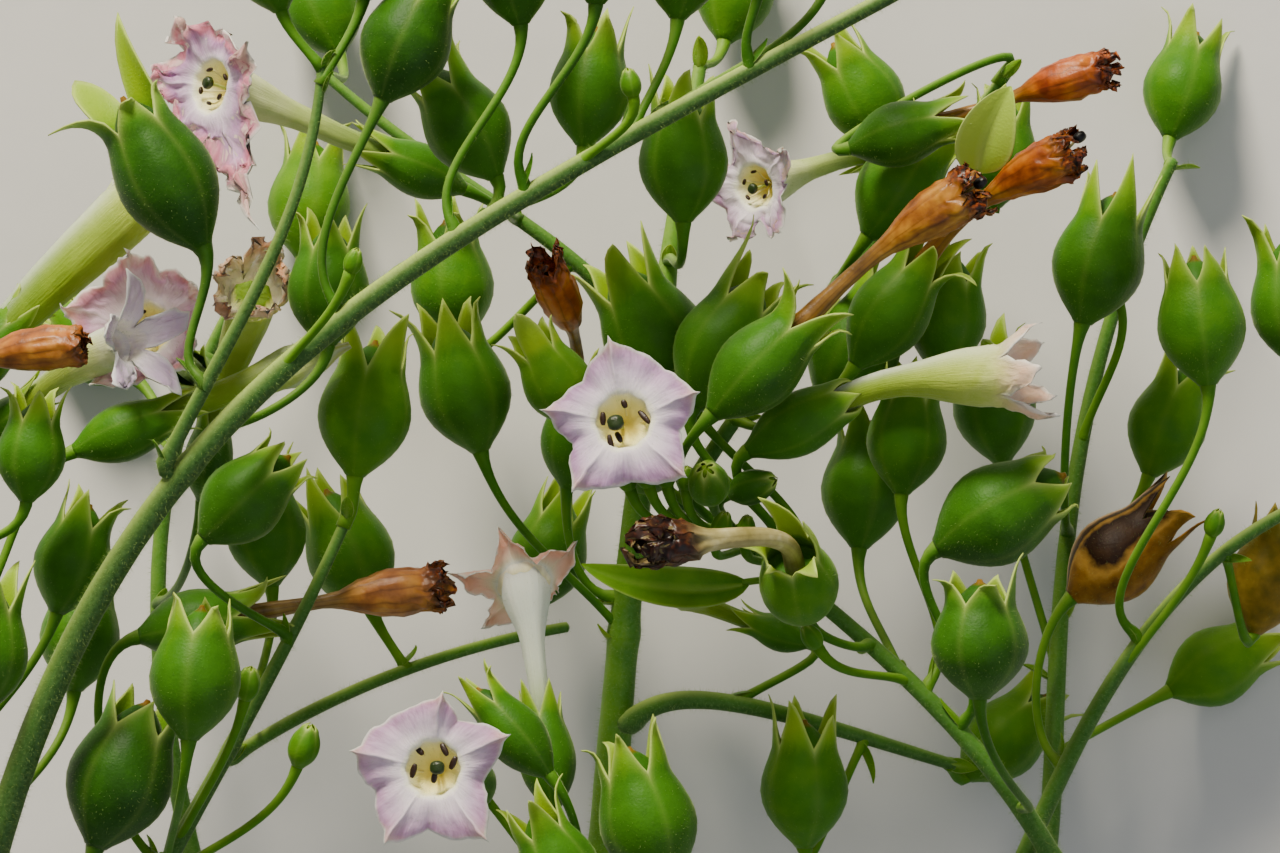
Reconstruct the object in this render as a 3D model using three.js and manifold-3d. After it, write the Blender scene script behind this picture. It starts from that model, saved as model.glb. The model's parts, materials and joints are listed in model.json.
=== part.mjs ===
// The flowering top of a tobacco plant, cut from the plant and lying on its back.
// Millimetres, +Z up. Seen from above, X runs to the right and Y runs up the panicle; Z is the
// height over the surface that it lies on. Each stem, and each large flower and seed capsule, is a
// mesh of its own; the smaller ones at the back are part of the stem that bears them.
import * as THREE from "three";
import { mergeVertices } from "three/addons/utils/BufferGeometryUtils.js";
import Module from "manifold-3d";

const wasm = await Module();
wasm.setup();

// Clearance between a pedicel's foot and the stem that bears it
const CLEARANCE = 0.3;

// Moves the model so that its box is centred over the origin and its lowest point is at Z = 0
const SHIFT = new THREE.Vector3(3.84, 15.27, 0);

// Five calyx teeth, petal lobes and ribs: ten sides give one edge on each and one between each
const LOBES = 5;
const SIDES = 2 * LOBES;
const STEM_SIDES = 8;
const STEM_STEPS = 8;
const CURVE_STEPS = 12;

// A pedicel, thin in the middle and wider where the calyx sits on it
const PEDICEL = { foot: 0.95, waist: 0.7, head: 1.15 };

// A calyx of average size: lengths along its axis, radii from it
const CALYX = { mouth: 16, tooth: 6.5, splay: 5, lip: 0.9, dome: 3 };
const GIRTH = { capsule: 6.6, flower: 4.7, withered: 5.6 };

// A corolla of average size, measured from the foot of the calyx
const COROLLA = { length: 48, tube: 1.9, throat: 4.4, tip: 13.2, notch: 10.2, sheet: 0.7 };
const WITHERED = { length: 46, tube: 1.15, body: 3.9, mouth: 3.1 };
const BUD_GIRTH = 3.4;

// Stems: `on` and `at` say where each leaves its parent, `by` and `to` are the handles and the tip
// of one Bezier curve, and `thick` is the radius at its foot and at its tip
const STEMS = {
  stalk: { foot: [-8, -126, 4.1], by: [[-7, -85, 8], [-4, -20, 54]], to: [10, 60, 28], thick: [4, 1.1] },
  left_bough: { on: "stalk", at: 0.12, by: [[-40, -104, 10], [-88, -100, 48]], to: [-104, -74, 80], thick: [3.1, 2.6] },
  front_bough: { on: "left_bough", at: 1, by: [[-82, 9, 106], [-37, 27, 98]], to: [50, 74, 94], thick: [2.5, 1.2] },
  front_twig: { on: "front_bough", at: 0.34, by: [[-64, 17, 104], [-52, 33, 100]], to: [-50.5, 58, 98], thick: [1.25, 0.8] },
  left_outer: { on: "left_bough", at: 0.92, by: [[-116, -58, 84], [-120, -20, 84]], to: [-110, 6, 74], thick: [1.9, 1.1] },
  left_inner: { on: "left_bough", at: 0.76, by: [[-76, -68, 72], [-58, -40, 70]], to: [-47, -14, 68], thick: [1.6, 0.9] },
  left_back: { on: "left_bough", at: 0.55, by: [[-74, -66, 22], [-92, -20, 20]], to: [-66, 22, 22], thick: [1.8, 1] },
  back_bough: { on: "left_inner", at: 0.5, by: [[-55, -46, 56], [-36, -37, 34]], to: [-12, -33, 30], thick: [1.15, 0.9] },
  right_bough: { on: "stalk", at: 0.06, by: [[20, -116, 6], [56, -104, 26]], to: [68, -74, 38], thick: [3, 2.2] },
  centre_bough: { on: "right_bough", at: 1, by: [[60, -55, 52], [38, -34, 50]], to: [13, -16, 52], thick: [1.8, 1.1] },
  right_outer: { on: "right_bough", at: 0.82, by: [[68, -60, 38], [80, -22, 46]], to: [113, -11, 42], thick: [1.7, 1] },
  right_middle: { on: "right_bough", at: 0.93, by: [[72, -60, 28], [62, -10, 20]], to: [88, 44, 24], thick: [1.8, 1] },
  cross_bough: { on: "stalk", at: 0.5, by: [[6, -40, 40], [26, -48, 30]], to: [52, -56, 22], thick: [1.7, 1] },
  low_bough: { on: "stalk", at: 0.3, by: [[-6, -90, 40], [-8, -82, 56]], to: [-9, -74, 66], thick: [1.9, 1.2] },
  top_left: { on: "stalk", at: 0.8, by: [[-8, 30, 40], [-30, 38, 44]], to: [-52, 58, 40], thick: [1.4, 0.8] },
  top_right: { on: "stalk", at: 0.64, by: [[16, 6, 44], [34, 24, 42]], to: [60, 58, 36], thick: [1.5, 0.8] },
};

// Flowers and capsules: `on` and `at` say where the pedicel leaves its stem, `base` is the foot of
// the calyx and `aim` the way the calyx points. `end` is where a bent corolla's mouth is and `turn`
// the way that faces. `fused` ones are part of their stem, and `rests` ones touch the surface. `girth`
// makes a calyx stouter or slimmer, and `teeth` gives each tooth's rise and reach against an average.
const BLOOMS = [
  { name: "flower_facing", kind: "flower", on: "centre_bough", at: 0.95, base: [2, -8, 42], aim: [-0.1, 0.19, 0.97], roll: 7 },
  { name: "withered_long", kind: "withered", on: "centre_bough", at: 1, base: [11.6, 2, 78], aim: [0.7, 0.71, 0], end: [52, 37, 79], turn: [0.9, 0.44, 0.05], size: 1.2 },
  { name: "flower_side_view", kind: "wilting", on: "centre_bough", at: 0.8, base: [17.4, -4, 68], aim: [0.87, 0.47, 0.12], end: [62, 8.5, 74], turn: [0.99, 0.1, 0.05], size: 1.1 },
  { name: "capsule_centre", kind: "capsule", on: "centre_bough", at: 0.84, base: [8, 4, 49], aim: [-0.47, 0.88, 0.05], size: 1.3 },
  { name: "capsule_long_teeth", kind: "capsule", on: "centre_bough", at: 0.89, base: [8.6, 3.2, 62], aim: [0.45, 0.89, 0], roll: 0, size: 1.2, teeth: [[0.8, 0.9], [1, 1.1], [0.8, 0.8], [1.1, 0.8], [1.75, 0.5]] },
  { name: "withered_bent", kind: "withered", on: "centre_bough", at: 0.66, base: [27, -31, 63], aim: [-0.15, 0.62, 0.77], end: [3.5, -18.5, 91], turn: [-0.97, 0.05, 0.25], size: 1.05, girth: 1.1 },
  { name: "capsule_under_flower", kind: "capsule", on: "centre_bough", at: 0.52, base: [42.7, -11, 46], aim: [0.1, 1, -0.05], size: 1 },
  { name: "capsule_leaning_right", kind: "capsule", on: "centre_bough", at: 0.42, base: [48.2, -19.8, 61], aim: [0.86, 0.5, 0.08], size: 1.25 },
  { name: "capsule_notched", kind: "capsule", on: "centre_bough", at: 0.2, base: [54.6, -43.8, 76], aim: [0, 1, 0.05], roll: 10, girth: 1.2, teeth: [[0.5, 0.9], [1.2, 0.95], [0.6, 0.8], [0.7, 0.9], [0.6, 1]] },
  { name: "bud_round", kind: "bud", on: "centre_bough", at: 0.98, base: [11.5, -11, 72], aim: [-0.15, 0.35, 0.93], size: 1, fused: true },
  { name: "bud_side", kind: "bud", on: "centre_bough", at: 0.96, base: [15, -10.7, 66], aim: [0.5, 0.35, 0.8], size: 0.85, fused: true },

  { name: "flower_low_facing", kind: "flower", on: "low_bough", at: 0.42, base: [-27, -59, 40], aim: [-0.13, 0.09, 0.98], roll: 0 },
  { name: "flower_from_behind", kind: "flower", on: "low_bough", at: 0.7, base: [-14, -62, 66], aim: [-0.12, 0.95, -0.3], end: [-19, -25, 50], turn: [-0.1, 0.5, -0.85], roll: 20 },
  { name: "capsule_low_left", kind: "capsule", on: "low_bough", at: 1, base: [-14.5, -56, 79], aim: [-0.64, 0.77, -0.05], size: 0.95, girth: 0.75 },
  { name: "capsule_low_front", kind: "capsule", on: "low_bough", at: 0.9, base: [-9, -78, 84], aim: [-0.45, 0.88, 0.1], size: 0.95 },
  { name: "capsule_low_right", kind: "capsule", on: "low_bough", at: 0.56, base: [4, -74, 72], aim: [-0.25, 0.96, 0], size: 1.2 },

  { name: "capsule_front_left", kind: "capsule", on: "front_twig", at: 0.2, base: [-69.5, 28.6, 99], aim: [-0.474, 0.88, 0], roll: 0, size: 1.4, girth: 0.87, teeth: [[0.45, 0.8], [0.5, 0.9], [1.95, 1.4], [1.45, 2.2], [0.55, 2.5]] },
  { name: "capsule_twig_left", kind: "capsule", on: "front_twig", at: 1, base: [-57, 66, 98], aim: [-0.3, 0.95, 0], size: 0.9, fused: true },
  { name: "capsule_twig_right", kind: "capsule", on: "front_twig", at: 0.95, base: [-44, 68, 97], aim: [0.2, 0.97, 0.1], size: 0.9, fused: true },
  { name: "capsule_above_fork", kind: "capsule", on: "front_bough", at: 0.53, base: [-41, 52, 98], aim: [0.38, 0.92, -0.05], size: 1.1 },
  { name: "capsule_behind_fork", kind: "capsule", on: "front_bough", at: 0.4, base: [-50, 13, 86], aim: [0.02, 1, 0], size: 1 },
  { name: "capsule_leaning_left", kind: "capsule", on: "front_bough", at: 0.58, base: [-23, 40, 84], aim: [-0.5, 0.86, 0], size: 1.05 },
  { name: "capsule_top_first", kind: "capsule", on: "front_bough", at: 0.64, base: [-19, 64, 94], aim: [-0.15, 0.98, 0], size: 1 },
  { name: "capsule_top_second", kind: "capsule", on: "front_bough", at: 0.7, base: [-7, 67, 103], aim: [0.05, 1, 0.05], size: 1 },
  { name: "capsule_top_third", kind: "capsule", on: "front_bough", at: 0.78, base: [6, 65, 92], aim: [0.1, 0.98, -0.1], size: 1, fused: true },
  { name: "capsule_top_inner", kind: "capsule", on: "front_bough", at: 0.66, base: [-9, 45, 80], aim: [0.1, 0.98, 0], size: 1, fused: true },
  { name: "capsule_top_fourth", kind: "capsule", on: "front_bough", at: 0.87, base: [19, 71, 99], aim: [-0.05, 1, 0.1], size: 1.05 },
  { name: "capsule_top_fifth", kind: "capsule", on: "front_bough", at: 0.8, base: [31, 74, 84], aim: [0.15, 0.98, 0], size: 0.95, fused: true },
  { name: "capsule_top_last", kind: "capsule", on: "front_bough", at: 1, base: [55, 76, 95], aim: [0.85, 0.5, 0.1], size: 0.9, fused: true },
  { name: "capsule_behind_bough", kind: "capsule", on: "stalk", at: 0.86, base: [7, 33, 72], aim: [0, 1, 0.08], size: 1.1 },

  { name: "flower_pink_high", kind: "flower", on: "top_left", at: 0.5, base: [-28.5, 38.5, 60], aim: [-0.9, 0.38, 0.35], end: [-70, 55, 76], turn: [-0.7, 0.1, 0.7], size: 0.95, roll: 20 },
  { name: "flower_left_tube", kind: "wilting", on: "left_outer", at: 1, base: [-111, 8, 68], aim: [0.55, 0.8, -0.05], end: [-80, 40, 66], turn: [0.6, 0.75, -0.25], size: 1, roll: 30 },
  { name: "flower_pink_left", kind: "flower", on: "left_back", at: 0.75, base: [-70, 6, 30], aim: [-0.22, 0.22, 0.95], size: 0.95, roll: 10 },
  { name: "flower_lilac_left", kind: "wilting", on: "left_outer", at: 0.7, base: [-107, -3, 58], aim: [0.6, 0.5, 0.6], end: [-79, 14, 86], turn: [0.75, 0.1, 0.65], size: 0.8, roll: 0 },
  { name: "withered_left", kind: "withered", on: "left_outer", at: 0.82, base: [-115, -14, 92], aim: [-0.1, 0.95, 0.2], end: [-87, 13, 99], turn: [0.93, 0.05, 0.35], size: 0.95 },
  { name: "flower_wilted_cream", kind: "wilting", on: "left_back", at: 0.6, base: [-71, -12, 60], aim: [0.15, 0.9, 0.4], end: [-62.5, 23.5, 82], turn: [-0.2, 0.3, 0.93], size: 0.85 },
  { name: "bud_long", kind: "long_bud", on: "left_outer", at: 0.54, base: [-91, -4, 76], aim: [0.93, 0.36, 0.02], size: 1 },
  { name: "capsule_left_upper", kind: "capsule", on: "left_outer", at: 0.68, base: [-98, -12, 89], aim: [0.1, 0.99, 0.05], size: 0.85, fused: true },
  { name: "capsule_left_middle", kind: "capsule", on: "left_outer", at: 0.3, base: [-94, -30, 72], aim: [0.3, 0.95, 0], size: 0.95, fused: true },
  { name: "capsule_left_inner", kind: "capsule", on: "left_outer", at: 0.15, base: [-92, -43, 54], aim: [0.1, 0.98, 0], size: 1, fused: true },
  { name: "capsule_left_low", kind: "capsule", on: "left_outer", at: 0.2, base: [-106, -46, 91], aim: [0.12, 0.99, 0], size: 1.1 },
  { name: "capsule_under_bough", kind: "capsule", on: "left_inner", at: 0.75, base: [-70, -18, 82], aim: [0.72, 0.69, 0], size: 1 },
  { name: "capsule_middle_left", kind: "capsule", on: "left_inner", at: 1, base: [-46, -8, 69], aim: [0.15, 0.98, 0], size: 1.15 },
  { name: "capsule_inner_low", kind: "capsule", on: "left_inner", at: 0.6, base: [-60, -26, 52], aim: [-0.1, 0.99, 0], size: 1, fused: true },
  { name: "withered_back", kind: "withered", on: "left_inner", at: 0.25, base: [-81, -34, 64], aim: [0.97, 0.2, 0], end: [-32, -26, 62], turn: [0.97, 0.12, 0], size: 1.05 },
  { name: "capsule_beside_corner", kind: "capsule", on: "left_inner", at: 0.25, base: [-72, -50, 91], aim: [0.1, 0.99, 0], size: 1.12, fused: true },
  { name: "capsule_corner", kind: "capsule", on: "left_bough", at: 0.86, base: [-87.5, -67.5, 78], aim: [0.34, 0.94, 0], size: 1.3 },

  { name: "withered_orange", kind: "withered", on: "stalk", at: 0.6, base: [-12, -10, 36], aim: [0.1, 0.96, 0.25], end: [-15.5, 27, 70], turn: [-0.3, 0.85, 0.45], size: 0.92 },
  { name: "capsule_beside_flower", kind: "capsule", on: "stalk", at: 0.74, base: [-9.5, 0.5, 74], aim: [-0.5, 0.86, 0.1], roll: 0, size: 0.85, teeth: [[1.4, 1.1], [0.8, 1], [0.8, 1], [0.8, 1], [0.9, 1.3]] },
  { name: "capsule_back_middle", kind: "capsule", on: "stalk", at: 0.57, base: [-26, -4, 48], aim: [-0.25, 0.96, 0.1], size: 1.15, fused: true },
  { name: "capsule_back_low", kind: "capsule", on: "back_bough", at: 0.6, base: [-44, -30, 40], aim: [-0.35, 0.93, 0.1], size: 1.1, fused: true },
  { name: "capsule_back_high", kind: "capsule", on: "top_left", at: 0.3, base: [-30, 14, 30], aim: [-0.1, 0.98, 0.1], size: 1.05, fused: true },
  { name: "capsule_back_inner", kind: "capsule", on: "back_bough", at: 0.92, base: [-18, -30, 21], aim: [0.3, 0.95, 0], size: 1, fused: true },

  { name: "withered_upper", kind: "withered", on: "top_right", at: 0.3, base: [35, 10, 57], aim: [0.55, 0.83, 0.08], end: [68.5, 43.5, 73], turn: [0.92, 0.36, 0.15], size: 1.15 },
  { name: "capsule_behind_tube", kind: "capsule", on: "top_right", at: 0.38, base: [30, 4, 40], aim: [0.5, 0.86, 0], size: 1.15, fused: true },
  { name: "capsule_star", kind: "capsule", on: "top_right", at: 0.5, base: [49, 9, 36], aim: [0.15, 0.98, 0.1], size: 1, fused: true },
  { name: "capsule_high", kind: "capsule", on: "top_right", at: 0.6, base: [37, 31, 52], aim: [0.55, 0.83, 0], size: 1.05 },
  { name: "capsule_high_left", kind: "capsule", on: "top_right", at: 0.75, base: [41, 46, 46], aim: [-0.5, 0.86, 0.1], size: 1 },
  { name: "capsule_high_right", kind: "capsule", on: "top_right", at: 0.9, base: [58, 36, 38], aim: [0.1, 0.98, 0.1], size: 0.95, fused: true },
  { name: "withered_high", kind: "withered", on: "top_right", at: 1, base: [34, 45, 64], aim: [0.96, 0.28, 0.1], end: [76, 57.7, 70], turn: [0.98, 0.18, 0.05], size: 0.95 },
  { name: "flower_far", kind: "flower", on: "top_right", at: 0.85, base: [49, 46, 24], aim: [-0.85, -0.1, 0.5], size: 0.8, end: [18, 39, 50], turn: [-0.6, -0.1, 0.8] },

  { name: "capsule_tall_right", kind: "capsule", on: "right_middle", at: 0.6, base: [72.3, 16.9, 44], aim: [0.25, 0.96, 0.05], roll: 20, size: 1.15, teeth: [[1.45, 0.6], [1.1, 1.1], [0.8, 1], [0.8, 1], [1.1, 0.9]] },
  { name: "capsule_hanging_right", kind: "capsule", on: "right_outer", at: 0.6, base: [92.3, 6.7, 56], aim: [-0.11, 0.99, 0], size: 1.1 },
  { name: "capsule_edge_right", kind: "capsule", on: "right_outer", at: 0.93, base: [108, 10, 42], aim: [-0.1, 0.98, 0], size: 1.1, fused: true },
  { name: "capsule_edge_low", kind: "capsule", on: "right_outer", at: 0.8, base: [101, -34, 30], aim: [0.25, 0.96, 0], size: 1, fused: true },
  { name: "capsule_dry", kind: "capsule", on: "right_outer", at: 0.35, base: [71, -28, 33], aim: [0.75, 0.66, 0.03], size: 1.1 },
  { name: "capsule_right_back", kind: "capsule", on: "right_middle", at: 0.42, base: [60, -6, 19], aim: [-0.15, 0.98, 0.1], size: 1.05, fused: true },
  { name: "capsule_right_inner", kind: "capsule", on: "cross_bough", at: 0.8, base: [27, -69, 36], aim: [0, 0.98, 0.15], size: 1.1, fused: true },
  { name: "capsule_cross", kind: "capsule", on: "cross_bough", at: 1, base: [54, -58, 18], aim: [0.7, 0.7, -0.1], size: 1, fused: true },
  { name: "bud_low", kind: "long_bud", on: "cross_bough", at: 0.45, base: [28, -36, 26], aim: [-0.8, 0.3, -0.35], size: 0.65, fused: true },
  { name: "capsule_centre_back", kind: "capsule", on: "centre_bough", at: 0.58, base: [36, -20, 34], aim: [0.1, 0.98, -0.1], size: 1.1, fused: true },
  { name: "capsule_right_under", kind: "capsule", on: "right_middle", at: 0.5, base: [84, -8, 24], aim: [0.35, 0.93, 0], size: 1, fused: true },

  { name: "capsule_floor_left", kind: "capsule", on: "left_back", at: 0.8, base: [-84, 8, 12], aim: [-0.75, 0.65, -0.25], size: 1, fused: true, rests: true },
  { name: "capsule_floor_middle", kind: "capsule", on: "left_back", at: 1, base: [-56, 28, 12], aim: [0.1, 0.95, -0.25], size: 1.05, fused: true, rests: true },
  { name: "capsule_floor_high", kind: "capsule", on: "top_left", at: 1, base: [-50, 62, 22], aim: [-0.3, 0.85, -0.4], size: 1, fused: true, rests: true },
  { name: "capsule_floor_top", kind: "capsule", on: "stalk", at: 1, base: [14, 64, 12], aim: [0.2, 0.9, -0.35], size: 1, fused: true, rests: true },
  { name: "capsule_floor_right", kind: "capsule", on: "right_middle", at: 1, base: [88, 48, 14], aim: [0.25, 0.9, -0.3], size: 1, fused: true, rests: true },
  { name: "capsule_floor_low", kind: "capsule", on: "right_middle", at: 0.3, base: [88, -44, 12], aim: [0.85, 0.45, -0.2], size: 1, fused: true, rests: true },
];

const vector = (p) => new THREE.Vector3(...p);

// Points along a run of Bezier curves, each with the way the run heads there and the length so far
function traced(curves, steps) {
  const line = [];
  let length = 0;
  curves.forEach((curve, c) => {
    for (let i = c ? 1 : 0; i <= steps; i++) {
      const point = curve.getPoint(i / steps);
      const heading = curve.getTangent(i / steps);
      if (line.length) length += point.distanceTo(line.at(-1).point);
      line.push({ point, heading, length });
    }
  });
  return line;
}

// Gives each point of a line a side direction that doesn't twist, starting from the line's end,
// where the side is the way up the panicle, or straight up where the end itself points up it
function framed(line, roll = 0) {
  const end = line.at(-1);
  let side = Math.abs(end.heading.y) > 0.8 ? new THREE.Vector3(0, 0, 1) : new THREE.Vector3(0, 1, 0);
  for (const spot of [...line].reverse()) {
    side = side.clone().addScaledVector(spot.heading, -side.dot(spot.heading)).normalize();
    if (spot === end) side.applyAxisAngle(spot.heading, THREE.MathUtils.degToRad(roll));
    spot.side = side;
    spot.across = spot.heading.clone().cross(side);
  }
  return line;
}

// The place and directions at a length along a framed line
function spotAt(line, length) {
  const next = line.findIndex((spot) => spot.length >= length);
  const b = line.at(next < 0 ? -1 : Math.max(1, next));
  const a = line[line.indexOf(b) - 1];
  const share = (length - a.length) / (b.length - a.length);
  const mix = (key) => a[key].clone().lerp(b[key], share);
  return { point: mix("point"), heading: mix("heading"), side: mix("side"), across: mix("across") };
}

// One closed skin round a framed line. Each row gives a length along it, the radius on a rib and
// between ribs, and how far the two are lifted forwards; it closes on the axis at both ends. Lifted
// ribs are teeth, whose rise and reach may differ.
function skin(line, rows, sides, end, teeth = []) {
  const at = [];
  const push = (v) => at.push(v.x, v.y, v.z) / 3 - 1;
  const start = push(spotAt(line, rows[0][0]).point);
  for (const [along, rib, gap = rib, ribLift = 0, gapLift = 0] of rows) {
    const spot = spotAt(line, along);
    for (let j = 0; j < sides; j++) {
      const angle = (2 * Math.PI * j) / sides;
      const [rise, reach] = (ribLift > 0 && teeth[j / 2]) || [1, 1];
      const radius = j % 2 ? gap : rib * reach;
      const v = spot.point.clone();
      v.addScaledVector(spot.heading, j % 2 ? gapLift : ribLift * rise);
      v.addScaledVector(spot.side, radius * Math.cos(angle));
      v.addScaledVector(spot.across, radius * Math.sin(angle));
      push(v);
    }
  }
  const tip = push(spotAt(line, end).point);
  const index = [];
  const id = (row, j) => 1 + row * sides + (j % sides);
  for (let j = 0; j < sides; j++) {
    index.push(start, id(0, j + 1), id(0, j));
    for (let row = 0; row + 1 < rows.length; row++) {
      index.push(id(row, j), id(row, j + 1), id(row + 1, j));
      index.push(id(row, j + 1), id(row + 1, j + 1), id(row + 1, j));
    }
    index.push(id(rows.length - 1, j), id(rows.length - 1, j + 1), tip);
  }
  const geometry = new THREE.BufferGeometry();
  geometry.setAttribute("position", new THREE.Float32BufferAttribute(at, 3));
  return geometry.setIndex(index);
}

// Where something leaves a stem towards a target: its foot, just clear of the bark on the target's
// side (or sunk to the stem's middle), and the way out. A branch of radius `own` that heads straight
// for the target stands off by as much as its slanting foot reaches back.
function leaving(stem, at, target, own = 0, sunk = false) {
  const point = stem.curve.getPoint(at);
  const along = stem.curve.getTangent(at);
  const radius = stem.thick[0] + (stem.thick[1] - stem.thick[0]) * at;
  const heading = target.clone().sub(point).normalize();
  if (sunk) return { foot: point.addScaledVector(along, at === 1 ? -1 : 0), out: heading };
  if (at === 1) {
    const turned = Math.sqrt(Math.max(0, 1 - heading.dot(along) ** 2));
    return { foot: point.addScaledVector(along, CLEARANCE + own * turned), out: along };
  }
  const out = heading.clone().addScaledVector(along, -heading.dot(along)).normalize();
  const slant = own * Math.sqrt(Math.max(0, 1 - heading.dot(out) ** 2));
  return { foot: point.addScaledVector(out, radius + CLEARANCE + slant), out };
}

const stems = {};
for (const [name, { on, at, foot, by, to, thick }] of Object.entries(STEMS)) {
  const start = foot ? vector(foot) : leaving(stems[on], at, vector(by[0]), thick[0]).foot;
  stems[name] = { curve: new THREE.CubicBezierCurve3(start, vector(by[0]), vector(by[1]), vector(to)), thick };
}

function stemGeometry({ curve, thick }) {
  const line = framed(traced([curve], 4 * STEM_STEPS));
  const whole = line.at(-1).length;
  const rows = [];
  for (let i = 0; i <= STEM_STEPS; i++) {
    const share = i / STEM_STEPS;
    rows.push([whole * share, thick[0] + (thick[1] - thick[0]) * share]);
  }
  return skin(line, rows, STEM_SIDES, whole);
}

// Rows from here on count from the foot of the calyx, for an average size

// The calyx from its foot to its mouth, its five teeth, and the lip inside them at radius `inner`
function calyxRows(girth, inner) {
  const { mouth, tooth, splay, lip } = CALYX;
  const neck = Math.max(0.7 * girth, inner + lip);
  return [
    [1.6, 0.48 * girth],
    [8, girth, 0.95 * girth],
    [mouth, neck, neck - 0.4],
    [mouth, Math.max(splay, neck), neck - 0.5, tooth, 0.5],
    [mouth - 1, inner],
  ];
}

const KINDS = {
  capsule: {
    rows: calyxRows(GIRTH.capsule, 3),
    end: CALYX.mouth + CALYX.dome,
  },
  small_capsule: {
    rows: [
      [1.8, 0.5 * GIRTH.capsule],
      [8, GIRTH.capsule],
      [CALYX.mouth, CALYX.splay, 0.68 * GIRTH.capsule, CALYX.tooth, 0],
    ],
    end: CALYX.mouth + CALYX.dome,
  },
  bud: {
    rows: [
      [1.2, 0.7 * BUD_GIRTH],
      [5, BUD_GIRTH],
      [8.5, 0.8 * BUD_GIRTH, 0.7 * BUD_GIRTH, 1.5, 0],
    ],
    end: 10,
  },
  // An open flower: tube, throat, the star of petals with its own thickness, and the hollow throat
  flower: {
    rows: [
      ...calyxRows(GIRTH.flower, COROLLA.tube + 0.5),
      [24, COROLLA.tube],
      [34, 1.3 * COROLLA.tube],
      [41, COROLLA.throat],
      [COROLLA.length - 1.5, COROLLA.throat],
      [COROLLA.length, COROLLA.tip, COROLLA.notch],
      [COROLLA.length, COROLLA.tip - COROLLA.sheet, COROLLA.notch - COROLLA.sheet, COROLLA.sheet, COROLLA.sheet],
      [COROLLA.length, COROLLA.throat - 0.6],
      [42, COROLLA.throat - 0.7],
    ],
    end: 36,
  },
  // A flower going over: the petals fold forwards and close up
  wilting: {
    rows: [
      ...calyxRows(GIRTH.flower, COROLLA.tube + 0.5),
      [24, COROLLA.tube],
      [32, 1.5 * COROLLA.tube],
      [38, COROLLA.throat],
      [COROLLA.length - 6, 0.9 * COROLLA.throat],
      [COROLLA.length - 5, 1.75 * COROLLA.throat, 1.1 * COROLLA.throat, 5, 1],
      [COROLLA.length - 6, 0.6 * COROLLA.throat],
    ],
    end: COROLLA.length - 9,
  },
  // A dry corolla: a thread of a tube, a shrunken body and a crumpled mouth
  withered: {
    rows: [
      ...calyxRows(GIRTH.withered, WITHERED.tube + 1.2),
      [19, WITHERED.tube],
      [31, 1.1 * WITHERED.tube],
      [35, 0.8 * WITHERED.body, 0.65 * WITHERED.body],
      [41, WITHERED.body, 0.85 * WITHERED.body],
      [WITHERED.length - 1, WITHERED.mouth, 0.7 * WITHERED.mouth],
      [WITHERED.length - 1, 1.1 * WITHERED.mouth, 0.75 * WITHERED.mouth, 1.6, 0.6],
    ],
    end: WITHERED.length - 2.5,
  },
  // A long bud: the closed corolla stands well out of the calyx
  long_bud: {
    rows: [
      ...calyxRows(GIRTH.flower, COROLLA.tube + 0.6),
      [24, 1.15 * COROLLA.tube],
      [33, 0.6 * COROLLA.throat, 0.55 * COROLLA.throat],
      [39, 0.85 * COROLLA.throat, 0.7 * COROLLA.throat],
      [45, 0.4 * COROLLA.throat, 0.3 * COROLLA.throat],
    ],
    end: 48,
  },
};

// The centre line of one flower or capsule: pedicel, straight calyx, then the corolla's bend
function bloomCurves({ kind, on, at, base, aim, end, turn = aim, size = 1, fused }) {
  const foot = vector(base);
  const way = vector(aim).normalize();
  const from = leaving(stems[on], at, foot, 0, fused);
  const slack = from.foot.distanceTo(foot) / 3;
  const mouth = foot.clone().addScaledVector(way, CALYX.mouth * size);
  const tipLength = kind === "capsule" ? CALYX.mouth + CALYX.dome : KINDS[kind].rows.at(-2)[0];
  const tip = end ? vector(end) : foot.clone().addScaledVector(way, tipLength * size + 1);
  const pull = mouth.distanceTo(tip) / 3;
  const curve = (a, b, c, d) => new THREE.CubicBezierCurve3(a, b, c, d);
  return [
    curve(from.foot, from.foot.clone().addScaledVector(from.out, slack), foot.clone().addScaledVector(way, -slack), foot),
    curve(foot, foot.clone().lerp(mouth, 1 / 3), foot.clone().lerp(mouth, 2 / 3), mouth),
    curve(mouth, mouth.clone().addScaledVector(way, pull), tip.clone().addScaledVector(vector(turn).normalize(), -pull), tip),
  ];
}

// The pedicel, then the rows of the flower or capsule scaled to its size; past the calyx's mouth
// they stretch over the length that a bent corolla really has
function bloomGeometry(spec, number) {
  const { kind, size = 1, girth = 1, fused, end } = spec;
  const { rows, end: last } = KINDS[kind === "capsule" && fused ? "small_capsule" : kind];
  const line = framed(traced(bloomCurves(spec), CURVE_STEPS), spec.roll ?? 47 * number);
  const foot = line[CURVE_STEPS].length;
  const { mouth } = CALYX;
  const longest = Math.max(...rows.map((row) => row[0]));
  const stretch = end ? (line.at(-1).length - foot - mouth * size) / (longest - mouth) : size;
  const place = (along) => foot + Math.min(along, mouth) * size + Math.max(0, along - mouth) * stretch;
  const scaled = rows.map(([along, rib, gap = rib, ...lifts]) => {
    const wide = size * (along > mouth ? 1 : girth);
    return [place(along), rib * wide, gap * wide, ...lifts.map((lift) => lift * size)];
  });
  const pedicel = [[0, PEDICEL.foot], [foot * 0.5, PEDICEL.waist], [foot, PEDICEL.head]];
  return skin(line, [...pedicel, ...scaled], SIDES, place(last), spec.teeth);
}

// Lowers or raises a capsule until it touches the surface
function rested(spec, number) {
  const geometry = bloomGeometry(spec, number);
  geometry.computeBoundingBox();
  const [x, y, z] = spec.base;
  return { ...spec, base: [x, y, z - geometry.boundingBox.min.z] };
}

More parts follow.
